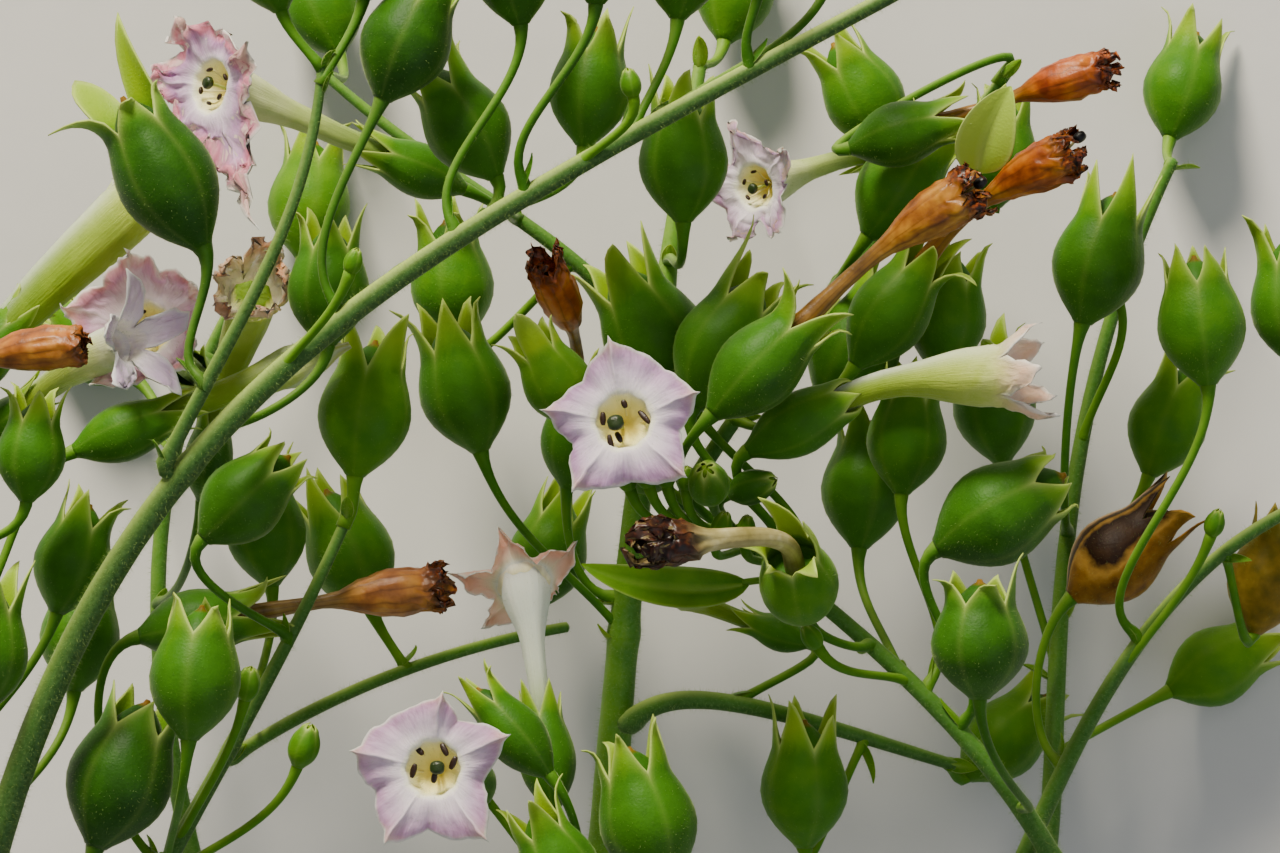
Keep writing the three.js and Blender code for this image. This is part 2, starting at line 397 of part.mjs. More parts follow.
function solid(geometry) {
  const { attributes, index } = mergeVertices(geometry, 1e-3);
  return new wasm.Manifold(
    new wasm.Mesh({ numProp: 3, vertProperties: attributes.position.array, triVerts: new Uint32Array(index.array) }),
  );
}

function geometryOf(manifold) {
  const mesh = manifold.getMesh();
  const geometry = new THREE.BufferGeometry();
  geometry.setAttribute("position", new THREE.BufferAttribute(mesh.vertProperties, 3));
  return geometry.setIndex(new THREE.BufferAttribute(mesh.triVerts, 1));
}

const FINISHES = {
  stem: new THREE.MeshStandardMaterial({ color: 0x4f7a34, roughness: 0.6, metalness: 0 }),
  capsule: new THREE.MeshStandardMaterial({ color: 0x5f9331, roughness: 0.55, metalness: 0 }),
  flower: new THREE.MeshStandardMaterial({ color: 0xe3c9d8, roughness: 0.7, metalness: 0 }),
  wilting: new THREE.MeshStandardMaterial({ color: 0xe2c3b4, roughness: 0.75, metalness: 0 }),
  withered: new THREE.MeshStandardMaterial({ color: 0xb0702c, roughness: 0.8, metalness: 0 }),
  long_bud: new THREE.MeshStandardMaterial({ color: 0xc7d29a, roughness: 0.65, metalness: 0 }),
};

const panicle = new THREE.Group();
panicle.position.copy(SHIFT);

function addMesh(name, geometry, finish) {
  const mesh = new THREE.Mesh(geometry, FINISHES[finish]);
  mesh.name = name;
  panicle.add(mesh);
}

const blooms = BLOOMS.map((spec, number) => {
  const placed = spec.rests ? rested(spec, number) : spec;
  return { ...placed, geometry: bloomGeometry(placed, number) };
});

for (const [name, stem] of Object.entries(stems)) {
  let whole = solid(stemGeometry(stem));
  for (const bloom of blooms.filter((b) => b.fused && b.on === name)) whole = whole.add(solid(bloom.geometry));
  addMesh(name, geometryOf(whole), "stem");
}
for (const bloom of blooms.filter((b) => !b.fused)) addMesh(bloom.name, bloom.geometry, bloom.kind);

export default panicle;
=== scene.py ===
# The flowering top of a tobacco plant, cut from the plant and lying on its back: ribbed green
# stems, calyxes that swell round their seed capsules, pink flowers, withered flowers and buds.
# The layout is in millimetres: X across the panicle, Y up it, Z the height over the floor.
import json

import bpy
import numpy as np
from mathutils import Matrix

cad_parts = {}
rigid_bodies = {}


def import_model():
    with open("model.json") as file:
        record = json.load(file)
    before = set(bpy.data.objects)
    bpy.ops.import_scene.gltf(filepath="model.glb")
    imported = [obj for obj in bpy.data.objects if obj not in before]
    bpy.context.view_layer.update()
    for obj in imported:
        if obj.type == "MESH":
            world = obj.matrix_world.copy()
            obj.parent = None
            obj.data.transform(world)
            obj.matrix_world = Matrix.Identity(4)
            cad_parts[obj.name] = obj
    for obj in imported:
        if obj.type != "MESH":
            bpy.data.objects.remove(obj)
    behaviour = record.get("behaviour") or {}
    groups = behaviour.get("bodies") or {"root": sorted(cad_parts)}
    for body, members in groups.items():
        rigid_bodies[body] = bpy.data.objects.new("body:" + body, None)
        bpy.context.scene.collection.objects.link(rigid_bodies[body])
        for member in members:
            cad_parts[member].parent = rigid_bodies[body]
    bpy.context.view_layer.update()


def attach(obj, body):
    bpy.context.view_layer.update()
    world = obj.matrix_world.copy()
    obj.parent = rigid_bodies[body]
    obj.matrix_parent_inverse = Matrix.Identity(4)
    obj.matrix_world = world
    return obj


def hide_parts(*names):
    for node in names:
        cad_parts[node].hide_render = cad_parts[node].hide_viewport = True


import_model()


# Stems
# Sixteen soft green shoots fork out of one another, from the thick cut stalk to the thin tips.
# They are ribbed lengthways, swell a little where something leaves them, and are cut at the foot.
MM = 0.001
# From the middle of the picture, where the layout is measured, to the middle of the part
SHIFT = np.array([3.84, 15.27, 0.0])
# How far the foot of a solid stands clear of what bears it
STAND_OFF = 0.3
# For each stem: what bears it and at which share of that, or for the stalk where its foot is; the two
# handles of its curve and its tip; its radius at the foot and at the tip; how light a green it is
STEMS = {
    "stalk": (None, [-8, -126, 4.1], [-7, -85, 8], [-4, -20, 54], [10, 60, 28], 4, 1.1, 0.58),
    "left_bough": ("stalk", 0.12, [-40, -104, 10], [-88, -100, 48], [-104, -74, 80], 3.1, 2.6, 0.27),
    "front_bough": ("left_bough", 1, [-82, 9, 106], [-37, 27, 98], [50, 74, 94], 2.5, 1.2, 0.1),
    "front_twig": ("front_bough", 0.34, [-64, 17, 104], [-52, 33, 100], [-50.5, 58, 98], 1.25, 0.8, 0.14),
    "left_outer": ("left_bough", 0.92, [-116, -58, 84], [-120, -20, 84], [-110, 6, 74], 1.9, 1.1, 0.2),
    "left_inner": ("left_bough", 0.76, [-76, -68, 72], [-58, -40, 70], [-47, -14, 68], 1.6, 0.9, 0.3),
    "left_back": ("left_bough", 0.55, [-74, -66, 22], [-92, -20, 20], [-66, 22, 22], 1.8, 1, 0.4),
    "back_bough": ("left_inner", 0.5, [-55, -46, 56], [-36, -37, 34], [-12, -33, 30], 1.15, 0.9, 0.42),
    "right_bough": ("stalk", 0.06, [20, -116, 6], [56, -104, 26], [68, -74, 38], 3, 2.2, 0.3),
    "centre_bough": ("right_bough", 1, [60, -55, 52], [38, -34, 50], [13, -16, 52], 1.8, 1.1, 0.4),
    "right_outer": ("right_bough", 0.82, [68, -60, 38], [80, -22, 46], [113, -11, 42], 1.7, 1, 0.34),
    "right_middle": ("right_bough", 0.93, [72, -60, 28], [62, -10, 20], [88, 44, 24], 1.8, 1, 0.4),
    "cross_bough": ("stalk", 0.5, [6, -40, 40], [26, -48, 30], [52, -56, 22], 1.7, 1, 0.34),
    "low_bough": ("stalk", 0.3, [-6, -90, 40], [-8, -82, 56], [-9, -74, 66], 1.9, 1.2, 0.4),
    "top_left": ("stalk", 0.8, [-8, 30, 40], [-30, 38, 44], [-52, 58, 40], 1.4, 0.8, 0.42),
    "top_right": ("stalk", 0.64, [16, 6, 44], [34, 24, 42], [60, 58, 36], 1.5, 0.8, 0.42),
}


def unit(v):
    """Ways of length one."""
    return v / np.linalg.norm(v, axis=-1, keepdims=True)


def bezier(points, share):
    """The point at a share of a cubic curve, and the way the curve heads there."""
    a, b, c, d = np.array(points, float)
    t = np.asarray(share, float)[..., None]
    at = (1 - t) ** 3 * a + 3 * (1 - t) ** 2 * t * b + 3 * (1 - t) * t**2 * c + t**3 * d
    return at, unit((1 - t) ** 2 * (b - a) + 2 * (1 - t) * t * (c - b) + t**2 * (d - c))


CURVE_STEPS = 24


def traced(curves, steps=CURVE_STEPS):
    """A line through a run of curves: its points, the way it heads and the length so far."""
    shares = np.linspace(0, 1, steps + 1)
    parts = [bezier(curve, shares[1 if i else 0 :]) for i, curve in enumerate(curves)]
    at, way = (np.concatenate(values) for values in zip(*parts))
    run = np.concatenate([[0], np.cumsum(np.linalg.norm(np.diff(at, axis=0), axis=1))])
    return {"at": at, "way": way, "run": run}


def framed(line, roll=0.0):
    """Gives a line side directions that don't twist, worked out from its end backwards."""
    side = np.array([0, 0, 1.0] if abs(line["way"][-1][1]) > 0.8 else [0, 1.0, 0])
    sides = []
    for number, way in enumerate(line["way"][::-1]):
        side = unit(side - way * (side @ way))
        if number == 0:
            turn = np.radians(roll)
            side = side * np.cos(turn) + np.cross(way, side) * np.sin(turn)
        sides.append(side)
    line["side"] = np.array(sides[::-1])
    line["across"] = np.cross(line["way"], line["side"])
    return line


def wrapped(line, run, radius, angle):
    """Points round a framed line, at lengths along it; past its ends the line runs straight on."""
    spot = {}
    for key in ("at", "way", "side", "across"):
        spot[key] = np.stack([np.interp(run, line["run"], line[key][:, k]) for k in range(3)], -1)
    over = run - np.clip(run, 0, line["run"][-1])
    out = spot["side"] * np.cos(angle)[..., None] + spot["across"] * np.sin(angle)[..., None]
    return spot["at"] + over[..., None] * spot["way"] + out * radius[..., None]


def closed_skin(grid, **marks):
    """A skin over rows of points that run round it, closed in the middle of both end rows."""
    rows, cols = grid.shape[:2]
    here = np.arange(cols)
    following = (here + 1) % cols
    first, last = 1 + here, 1 + (rows - 1) * cols + here
    quads = np.concatenate([
        1 + row * cols + np.stack([here, following, following + cols, here + cols], -1)
        for row in range(rows - 1)
    ])
    fans = np.concatenate([
        np.stack([np.zeros(cols, int), 1 + following, first], -1),
        np.stack([last, 1 + (rows - 1) * cols + following, np.full(cols, 1 + rows * cols)], -1),
    ])
    at = np.concatenate([[grid[0].mean(0)], grid.reshape(-1, 3), [grid[-1].mean(0)]])
    values = {}
    for name, value in marks.items():
        value = np.broadcast_to(value, (rows, cols))
        values[name] = np.concatenate([[value[0].mean()], value.ravel(), [value[-1].mean()]])
    return {"at": at, "quads": quads, "fans": fans, "marks": values}


def plain_mesh(name, skins):
    """One Blender mesh from several skins, with their marks as values on its points."""
    mesh = bpy.data.meshes.new(name)
    start, faces = 0, []
    for skin in skins:
        faces += (skin["quads"] + start).tolist() + (skin["fans"] + start).tolist()
        start += len(skin["at"])
    points = (np.concatenate([skin["at"] for skin in skins]) + SHIFT) * MM
    mesh.from_pydata(points.tolist(), [], faces)
    for mark in skins[0]["marks"]:
        values = np.concatenate([skin["marks"][mark] for skin in skins]).astype(np.float32)
        mesh.attributes.new(mark, "FLOAT", "POINT").data.foreach_set("value", values)
    mesh.shade_smooth()
    return mesh


def placed(name, data):
    """A new object in the scene."""
    made = bpy.data.objects.new(name, data)
    bpy.context.scene.collection.objects.link(made)
    return made


def add_piece(name, mesh, material, nodes=()):
    """Adds a finished mesh as a piece of the plant that stands for the named solids."""
    mesh.materials.append(material)
    piece = placed(name, mesh)
    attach(piece, "root")
    if nodes:
        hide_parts(*nodes)


def add_skins(name, skins, material, nodes=()):
    """Adds one piece made of several skins."""
    add_piece(name, plain_mesh(name, skins), material, nodes)


SEEDS = {"stem": 100, "calyx": 1000, "tone": 2000, "corolla": 3000, "stamens": 4000, "bract": 5000,
         "fork bract": 5100, "small bud": 6000}


def dice(kind, number):
    """Random numbers that are the same each time for one piece of a kind."""
    return np.random.default_rng(SEEDS[kind] + number)


def thickness(stem, share):
    """A stem's radius at a share of its length."""
    foot, tip = stem["thick"]
    return foot + (tip - foot) * share


def leaving(stem, share, toward, own=0.0, sunk=False):
    """Where something leaves a stem: its foot off the rind, and the way it sets out."""
    at, way = bezier(stem["curve"], share)
    heading = unit(toward - at)
    if sunk:
        return at - way * (share == 1), heading
    if share == 1:
        return at + way * (STAND_OFF + own * np.sqrt(max(0, 1 - (heading @ way) ** 2))), way
    out = unit(heading - way * (heading @ way))
    slant = own * np.sqrt(max(0, 1 - (heading @ out) ** 2))
    return at + out * (thickness(stem, share) + STAND_OFF + slant), out


def rooted(stem, share, foot, out):
    """The hidden stretch that joins a branch's foot to the middle of the stem that bears it."""
    at, way = bezier(stem["curve"], share)
    back = at - way * (1.5 if share < 1 else 2.5)
    reach = np.linalg.norm(foot - back) / 3
    return [back, back + way * reach, foot - out * reach, foot]


stems = {}
for name, (on, at, first, second, tip, *thick, tone) in STEMS.items():
    first, second, tip = np.array([first, second, tip], float)
    stem = {"on": on, "at": at, "thick": thick, "tone": tone}
    if on:
        foot = leaving(stems[on], at, first, thick[0])[0]
        stem["root"] = rooted(stems[on], at, foot, unit(first - foot))
    else:
        foot = np.array(at, float)
    stem["curve"] = [foot, first, second, tip]
    stems[name] = stem

# The way to the side that had the most light, which is paler; the other side is darker
SUNNY = unit(np.array([-0.4, 0.85, 0.3]))


def held(values):
    """Values kept between 0 and 1."""
    return np.clip(values, 0, 1)


def round_angles(cols):
    """Angles spread evenly round a skin."""
    return np.linspace(0, 2 * np.pi, cols, endpoint=False)


def sunny_side(line, run, angle):
    """How far each point round a line faces the side that had the most light, from -1 to 1."""
    middle = wrapped(line, run, np.zeros(run.shape), angle)
    return (wrapped(line, run, np.ones(run.shape), angle) - middle) @ SUNNY


RIBS, STEM_COLS, STEM_STEPS, STEM_ROW_MM = 7, 28, 48, 1.0
# How much wider a stem is at its fork and where something leaves it, and over how many millimetres
FLARE, FLARE_MM, SWELLING, SWELLING_MM = 0.22, 2.6, 0.13, 2.2


def stem_skin(name, rng):
    """A stem from inside its bearer to its tip: ribbed, flared at the fork, swollen at its nodes."""
    stem = stems[name]
    curves = [stem["root"], stem["curve"]] if "root" in stem else [stem["curve"]]
    line = framed(traced(curves, STEM_STEPS))
    hidden = line["run"][STEM_STEPS] if "root" in stem else 0.0
    whole = line["run"][-1]
    rows = np.linspace(0, whole, int(whole / STEM_ROW_MM))
    radius = thickness(stem, held((rows - hidden) / (whole - hidden)))
    if hidden:
        radius = radius * (0.72 + 0.28 * held(rows / hidden))
        radius = radius * (1 + FLARE * np.exp(-(((rows - hidden) / FLARE_MM) ** 2)))
    for node_share in [other["at"] for other in stems.values() if other["on"] == name]:
        away = (rows - hidden) - node_share * (whole - hidden)
        radius = radius * (1 + SWELLING * np.exp(-((away / SWELLING_MM) ** 2)))
    angle = round_angles(STEM_COLS)
    twist = rows[:, None] * 0.004 + rng.uniform(0, 6)
    ribs = 0.5 + 0.5 * np.cos(RIBS * (angle + twist))
    uneven = 0.5 + 0.25 * np.sin(rows * 0.31 + rng.uniform(0, 6)) + 0.25 * np.sin(rows * 0.83)
    depth = radius[:, None] * (0.98 + 0.016 * ribs) * (0.985 + 0.02 * uneven[:, None])
    run = np.broadcast_to(rows[:, None], depth.shape)
    angle = np.broadcast_to(angle, depth.shape)
    cut = np.zeros(depth.shape)
    if not hidden:
        # The stalk's foot is cut flat, and shows its pith
        faces = np.array([0.0, 0.35, 0.7, 0.86, 0.97])[:, None]
        depth = np.concatenate([faces * depth[0], depth])
        run = np.concatenate([0.12 * (1 - faces) * np.ones_like(run[:5]), run])
        angle = np.concatenate([angle[:5], angle])
        cut = np.concatenate([1.0 - 0.5 * faces**4 * np.ones_like(cut[:5]), cut])
        ribs = np.concatenate([ribs[:5], ribs])
    # Its tip is rounded off
    tip = np.array([0.92, 0.75, 0.4])[:, None]
    depth = np.concatenate([depth, tip * depth[-1]])
    run = np.concatenate([run, whole + (1 - tip) * 0.6 * np.ones_like(run[:3])])
    angle, ribs, cut = (np.concatenate([v, v[-3:]]) for v in (angle, ribs, cut))
    grid = wrapped(line, run, depth, angle)
    sunny = sunny_side(line, run, angle)
    # Painted light: the side towards the light is painted lighter and paler, and the other side darker
    tone = stem["tone"] + 0.05 * np.sin(run * 0.09 + rng.uniform(0, 6)) + 0.2 * sunny
    pale = 0.03 * ribs**3 + 0.8 * held(sunny) ** 3.5
    return closed_skin(grid, tone=tone, pale=pale, dry=0.0, cut=cut)


def colour(text):
    """A linear colour from an sRGB hex one."""
    s = np.array([int(text[k : k + 2], 16) for k in (1, 3, 5)]) / 255
    return (*np.where(s <= 0.04045, s / 12.92, ((s + 0.055) / 1.055) ** 2.4).tolist(), 1.0)


def add_node(tree, kind, inputs=None, **settings):
    """Adds a node; an input takes a value, a #colour, a mark's name or a socket to be linked to."""
    made = tree.nodes.new(kind)
    for key, value in settings.items():
        setattr(made, key, value)
    for key, value in (inputs or {}).items():
        if isinstance(value, str):
            value = colour(value) if value.startswith("#") else mark_of(tree, value)
        if isinstance(value, bpy.types.NodeSocket):
            tree.links.new(value, made.inputs[key])
        else:
            made.inputs[key].default_value = value
    return made


def mark_of(tree, name):
    """The value of a mesh's mark, as a socket."""
    return add_node(tree, "ShaderNodeAttribute", attribute_name=name).outputs["Fac"]


def mixed(tree, share, first, second, blend="MIX"):
    """Two colours mixed by a share between 0 and 1, as a socket."""
    inputs = {"Factor": share, 6: first, 7: second}
    made = add_node(tree, "ShaderNodeMix", inputs, data_type="RGBA", blend_type=blend)
    return made.outputs[2]


def maths(tree, operation, *values, **settings):
    """The result of a sum on sockets or numbers, as a socket."""
    made = add_node(tree, "ShaderNodeMath", dict(enumerate(values)), operation=operation, **settings)
    return made.outputs[0]


def ramp(tree, share, stops):
    """A row of colours read at a share between 0 and 1, as a socket."""
    made = add_node(tree, "ShaderNodeValToRGB", {"Fac": share})
    band = made.color_ramp
    for number, (place, text) in enumerate(stops):
        stop = band.elements[number] if number < 2 else band.elements.new(place)
        stop.position, stop.color = place, colour(text)
    return made.outputs["Color"]


def noise(tree, grain_mm, detail=3.0):
    """Noise with grains so many millimetres across, in the piece's own coordinates."""
    where = add_node(tree, "ShaderNodeTexCoord").outputs["Object"]
    inputs = {"Vector": where, "Scale": 1 / (grain_mm * MM), "Detail": detail, "Roughness": 0.5}
    return add_node(tree, "ShaderNodeTexNoise", inputs).outputs["Fac"]


def surface(base, relief, depth, **sockets):
    """A shader with a colour socket, a relief socket and plain values on its other inputs."""
    tree = base.id_data
    bump = add_node(tree, "ShaderNodeBump", {"Height": relief, "Distance": depth, "Strength": 1.0})
    inputs = {"Base Color": base, "Normal": bump.outputs["Normal"], **sockets}
    shader = add_node(tree, "ShaderNodeBsdfPrincipled", inputs)
    add_node(tree, "ShaderNodeOutputMaterial", {"Surface": shader.outputs["BSDF"]})


def painted(name, lay, *details):
    """A material whose nodes are laid by a function, which may be told some details."""
    material = bpy.data.materials.new(name)
    material.use_nodes = True
    material.node_tree.nodes.clear()
    lay(material.node_tree, *details)
    return material


# From deep shade to the green that light comes through
GREENS = [(0.0, "#0d2e00"), (0.25, "#1f4c00"), (0.5, "#3c7400"), (0.75, "#669602"), (1.0, "#8aac00")]


def green_paint(tree, roughness, down, wax):
    """Green plant skin, waxy and downy; marks say how light, pale, dry or cut it is at each point."""
    blotches = noise(tree, 3.846)
    specks = noise(tree, 0.6667, 2.0)
    shift = maths(tree, "MULTIPLY_ADD", blotches, 0.3, -0.15)
    # The tone and pale marks also hold painted light: sides towards the light are painted lighter and
    # paler, the others darker
    tone = maths(tree, "ADD", "tone", shift, use_clamp=True)
    base = ramp(tree, tone, GREENS)
    base = mixed(tree, maths(tree, "MULTIPLY", specks, wax), base, "#6e9a58")
    base = mixed(tree, "pale", base, "#c0d470")
    husk = maths(tree, "SUBTRACT", "dry", 1.0, use_clamp=True)
    place = maths(tree, "MULTIPLY_ADD", noise(tree, 2.381, 4.0), 0.35, husk)
    streaks = ramp(tree, place, [(0.08, "#5e3a0c"), (0.2, "#8f6212"), (0.32, "#b08434"), (0.5, "#24140c"),
                                 (0.72, "#46301c"), (0.86, "#9c7450"), (1.0, "#d2b08a")])
    base = mixed(tree, "dry", base, streaks)
    pith = ramp(tree, noise(tree, 1.111), [(0.3, "#b9c98a"), (0.7, "#e6e8c4")])
    base = mixed(tree, "cut", base, pith)
    relief = maths(tree, "ADD", noise(tree, 0.4545, 2.0), maths(tree, "MULTIPLY", blotches, 1.5))
    sockets = {"Roughness": roughness, "IOR": 1.45, "Specular IOR Level": 0.16}
    sockets.update({"Sheen Weight": down, "Sheen Roughness": 0.28, "Sheen Tint": "#d6eca0"})
    glow = {"Subsurface Weight": 0.06, "Subsurface Scale": 0.0015, "Subsurface Radius": (0.8, 1.0, 0.2)}
    surface(base, relief, 0.00006, **sockets, **glow)


rind = painted("green rind", green_paint, 0.5, 0.4, 0.5)
for number, name in enumerate(STEMS):
    add_skins(f"{name}_shoot", [stem_skin(name, dice("stem", number))], rind, [name])


# Calyxes, seed capsules and pedicels
# Each flower and each capsule sits on a thin pedicel in a green calyx of five joined sepals, whose
# free teeth are uneven, pale at the margin and limy at the tip; a ripening capsule fills it.
# In an average flower: how far along the calyx's mouth is, and how far a tooth rises and reaches
MOUTH, TOOTH, SPLAY = 16.0, 6.5, 5.0
# By kind: the calyx's largest radius, and the whole length from the calyx's foot
GIRTHS = {"capsule": 6.6, "flower": 4.7, "wilting": 4.7, "long_bud": 4.7, "withered": 5.6, "bud": 3.4}
LENGTHS = {"capsule": 19.0, "flower": 48.0, "wilting": 43.0, "long_bud": 45.0, "withered": 45.0,
           "bud": 19.0}
# Columns to a sepal, and rows below and up the teeth; the far ones, fused to their stems, have fewer
NEAR_GRID, FAR_GRID = (12, (9, 12)), (8, (7, 8))
BLOOMS = {}


def spec_of(number, name, on, at, base, aim, **more):
    """What is known of a bloom; its kind is its name's first word unless told otherwise."""
    plain = {"number": number, "name": name, "kind": name.split("_")[0], "on": on, "at": at}
    plain.update(size=1.0, roll=47 * number, base=np.array(base, float), aim=unit(np.array(aim, float)))
    return {**plain, **more}


def bloom(name, *row, **more):
    """Notes a large bloom down."""
    BLOOMS[name] = spec_of(len(BLOOMS), name, *row, **more)


# For each large bloom: its stem and the share of it, the foot of the calyx and the way it points,
# where a bent corolla ends and the way that faces, and each tooth's rise and reach
bloom("flower_facing", "centre_bough", 0.95, [2, -8, 42], [-0.1, 0.19, 0.97], roll=7)
bloom("withered_long", "centre_bough", 1, [11.6, 2, 78], [0.7, 0.71, 0], end=[52, 37, 79],
      turn=[0.9, 0.44, 0.05], size=1.2)
bloom("flower_side_view", "centre_bough", 0.8, [17.4, -4, 68], [0.87, 0.47, 0.12], kind="wilting",
      end=[62, 8.5, 74], turn=[0.99, 0.1, 0.05], size=1.1)
bloom("capsule_centre", "centre_bough", 0.84, [8, 4, 49], [-0.47, 0.88, 0.05], size=1.3)
bloom("capsule_long_teeth", "centre_bough", 0.89, [8.6, 3.2, 62], [0.45, 0.89, 0], roll=0, size=1.2,
      teeth=[[0.8, 0.9], [1, 1.1], [0.8, 0.8], [1.1, 0.8], [1.75, 0.5]])
bloom("withered_bent", "centre_bough", 0.66, [27, -31, 63], [-0.15, 0.62, 0.77], end=[3.5, -18.5, 91],
      turn=[-0.97, 0.05, 0.25], size=1.05, girth=1.1)
bloom("capsule_under_flower", "centre_bough", 0.52, [42.7, -11, 46], [0.1, 1, -0.05])
bloom("capsule_leaning_right", "centre_bough", 0.42, [48.2, -19.8, 61], [0.86, 0.5, 0.08], size=1.25)
bloom("capsule_notched", "centre_bough", 0.2, [54.6, -43.8, 76], [0, 1, 0.05], roll=10, girth=1.2,
      teeth=[[0.5, 0.9], [1.2, 0.95], [0.6, 0.8], [0.7, 0.9], [0.6, 1]])
bloom("bud_round", "centre_bough", 0.98, [11.5, -11.5, 72], [-0.1, 0.5, 0.86], fused=True)
bloom("bud_side", "centre_bough", 0.96, [14.6, -10.9, 66], [0.9, 0.3, 0.4], size=0.85, fused=True)
bloom("flower_low_facing", "low_bough", 0.42, [-27, -59, 40], [-0.13, 0.09, 0.98], roll=0)
bloom("flower_from_behind", "low_bough", 0.7, [-14, -62, 66], [-0.12, 0.95, -0.3], end=[-19, -25, 50],
      turn=[-0.1, 0.5, -0.85], roll=20)
bloom("capsule_low_left", "low_bough", 1, [-14.5, -56, 79], [-0.64, 0.77, -0.05], size=0.95, girth=0.75)
bloom("capsule_low_front", "low_bough", 0.9, [-9, -78, 84], [-0.45, 0.88, 0.1], size=0.95)
bloom("capsule_low_right", "low_bough", 0.56, [4, -74, 72], [-0.25, 0.96, 0], size=1.2)
bloom("capsule_front_left", "front_twig", 0.2, [-69.5, 28.6, 99], [-0.474, 0.88, 0], roll=0, size=1.4,
      girth=0.87, teeth=[[0.45, 0.8], [0.5, 0.9], [1.95, 1.4], [1.45, 2.2], [0.55, 2.5]])
bloom("capsule_twig_left", "front_twig", 1, [-57, 66, 98], [-0.3, 0.95, 0], size=0.9, fused=True)
bloom("capsule_twig_right", "front_twig", 0.95, [-44, 68, 97], [0.2, 0.97, 0.1], size=0.9, fused=True)
bloom("capsule_above_fork", "front_bough", 0.53, [-41, 52, 98], [0.38, 0.92, -0.05], size=1.1)
bloom("capsule_behind_fork", "front_bough", 0.4, [-50, 13, 86], [0.02, 1, 0])
bloom("capsule_leaning_left", "front_bough", 0.58, [-23, 40, 84], [-0.5, 0.86, 0], size=1.05)
bloom("capsule_top_first", "front_bough", 0.64, [-19, 64, 94], [-0.15, 0.98, 0])
bloom("capsule_top_second", "front_bough", 0.7, [-7, 67, 103], [0.05, 1, 0.05])
bloom("capsule_top_third", "front_bough", 0.78, [6, 65, 92], [0.1, 0.98, -0.1], fused=True)
bloom("capsule_top_inner", "front_bough", 0.66, [-9, 45, 80], [0.1, 0.98, 0], fused=True)
bloom("capsule_top_fourth", "front_bough", 0.87, [19, 71, 99], [-0.05, 1, 0.1], size=1.05)
bloom("capsule_top_fifth", "front_bough", 0.8, [31, 74, 84], [0.15, 0.98, 0], size=0.95, fused=True)
bloom("capsule_top_last", "front_bough", 1, [55, 76, 95], [0.85, 0.5, 0.1], size=0.9, fused=True)
bloom("capsule_behind_bough", "stalk", 0.86, [7, 33, 72], [0, 1, 0.08], size=1.1)
bloom("flower_pink_high", "top_left", 0.5, [-28.5, 38.5, 60], [-0.9, 0.38, 0.35], end=[-70, 55, 76],
      turn=[-0.7, 0.1, 0.7], size=0.95, roll=20)
bloom("flower_left_tube", "left_outer", 1, [-112, 4.5, 68], [0.66, 0.75, -0.05], kind="wilting",
      end=[-79.5, 38, 66], turn=[0.68, 0.69, -0.25], roll=30)
bloom("flower_pink_left", "left_back", 0.75, [-70, 6, 30], [-0.22, 0.22, 0.95], size=0.95, roll=10)
bloom("flower_lilac_left", "left_outer", 0.7, [-107, -3, 58], [0.6, 0.5, 0.6], kind="wilting",
      end=[-79, 14, 86], turn=[0.75, 0.1, 0.65], size=0.8, roll=0)
bloom("withered_left", "left_outer", 0.82, [-115, -14, 92], [-0.1, 0.95, 0.2], end=[-87, 13, 99],
      turn=[0.93, 0.05, 0.35], size=0.95)
bloom("flower_wilted_cream", "left_back", 0.6, [-71, -12, 60], [0.15, 0.9, 0.4], kind="wilting",
      end=[-62.5, 23.5, 82], turn=[-0.2, 0.3, 0.93], size=0.85)
bloom("bud_long", "left_outer", 0.54, [-91, -4, 76], [0.93, 0.36, 0.02], kind="long_bud")
bloom("capsule_left_upper", "left_outer", 0.68, [-98, -12, 89], [0.1, 0.99, 0.05], size=0.85, fused=True)
bloom("capsule_left_middle", "left_outer", 0.3, [-94, -30, 72], [0.3, 0.95, 0], size=0.95, fused=True)
bloom("capsule_left_inner", "left_outer", 0.15, [-92, -43, 54], [0.1, 0.98, 0], fused=True)
bloom("capsule_left_low", "left_outer", 0.2, [-106, -46, 91], [0.12, 0.99, 0], size=1.1)
bloom("capsule_under_bough", "left_inner", 0.75, [-70, -18, 82], [0.72, 0.69, 0])
bloom("capsule_middle_left", "left_inner", 1, [-46, -8, 69], [0.15, 0.98, 0], size=1.15)
bloom("capsule_inner_low", "left_inner", 0.6, [-60, -26, 52], [-0.1, 0.99, 0], fused=True)
bloom("withered_back", "left_inner", 0.25, [-81, -34, 64], [0.97, 0.2, 0], end=[-32, -26, 62],
      turn=[0.97, 0.12, 0], size=1.05)
bloom("capsule_beside_corner", "left_inner", 0.25, [-72, -50, 91], [0.1, 0.99, 0], size=1.12, fused=True)
bloom("capsule_corner", "left_bough", 0.86, [-87.5, -67.5, 78], [0.34, 0.94, 0], size=1.3)
bloom("withered_orange", "stalk", 0.6, [-12, -10, 36], [0.1, 0.96, 0.25], end=[-15.5, 27, 70],
      turn=[-0.3, 0.85, 0.45], size=0.92)
bloom("capsule_beside_flower", "stalk", 0.74, [-9.5, 0.5, 74], [-0.5, 0.86, 0.1], roll=0, size=0.85,
      teeth=[[1.4, 1.1], [0.8, 1], [0.8, 1], [0.8, 1], [0.9, 1.3]])
bloom("capsule_back_middle", "stalk", 0.57, [-26, -4, 48], [-0.25, 0.96, 0.1], size=1.15, fused=True)
bloom("capsule_back_low", "back_bough", 0.6, [-44, -30, 40], [-0.35, 0.93, 0.1], size=1.1, fused=True)
bloom("capsule_back_high", "top_left", 0.3, [-30, 14, 30], [-0.1, 0.98, 0.1], size=1.05, fused=True)
bloom("capsule_back_inner", "back_bough", 0.92, [-18, -30, 21], [0.3, 0.95, 0], fused=True)
bloom("withered_upper", "top_right", 0.3, [35, 10, 57], [0.55, 0.83, 0.08], end=[68.5, 43.5, 73],
      turn=[0.92, 0.36, 0.15], size=1.15)
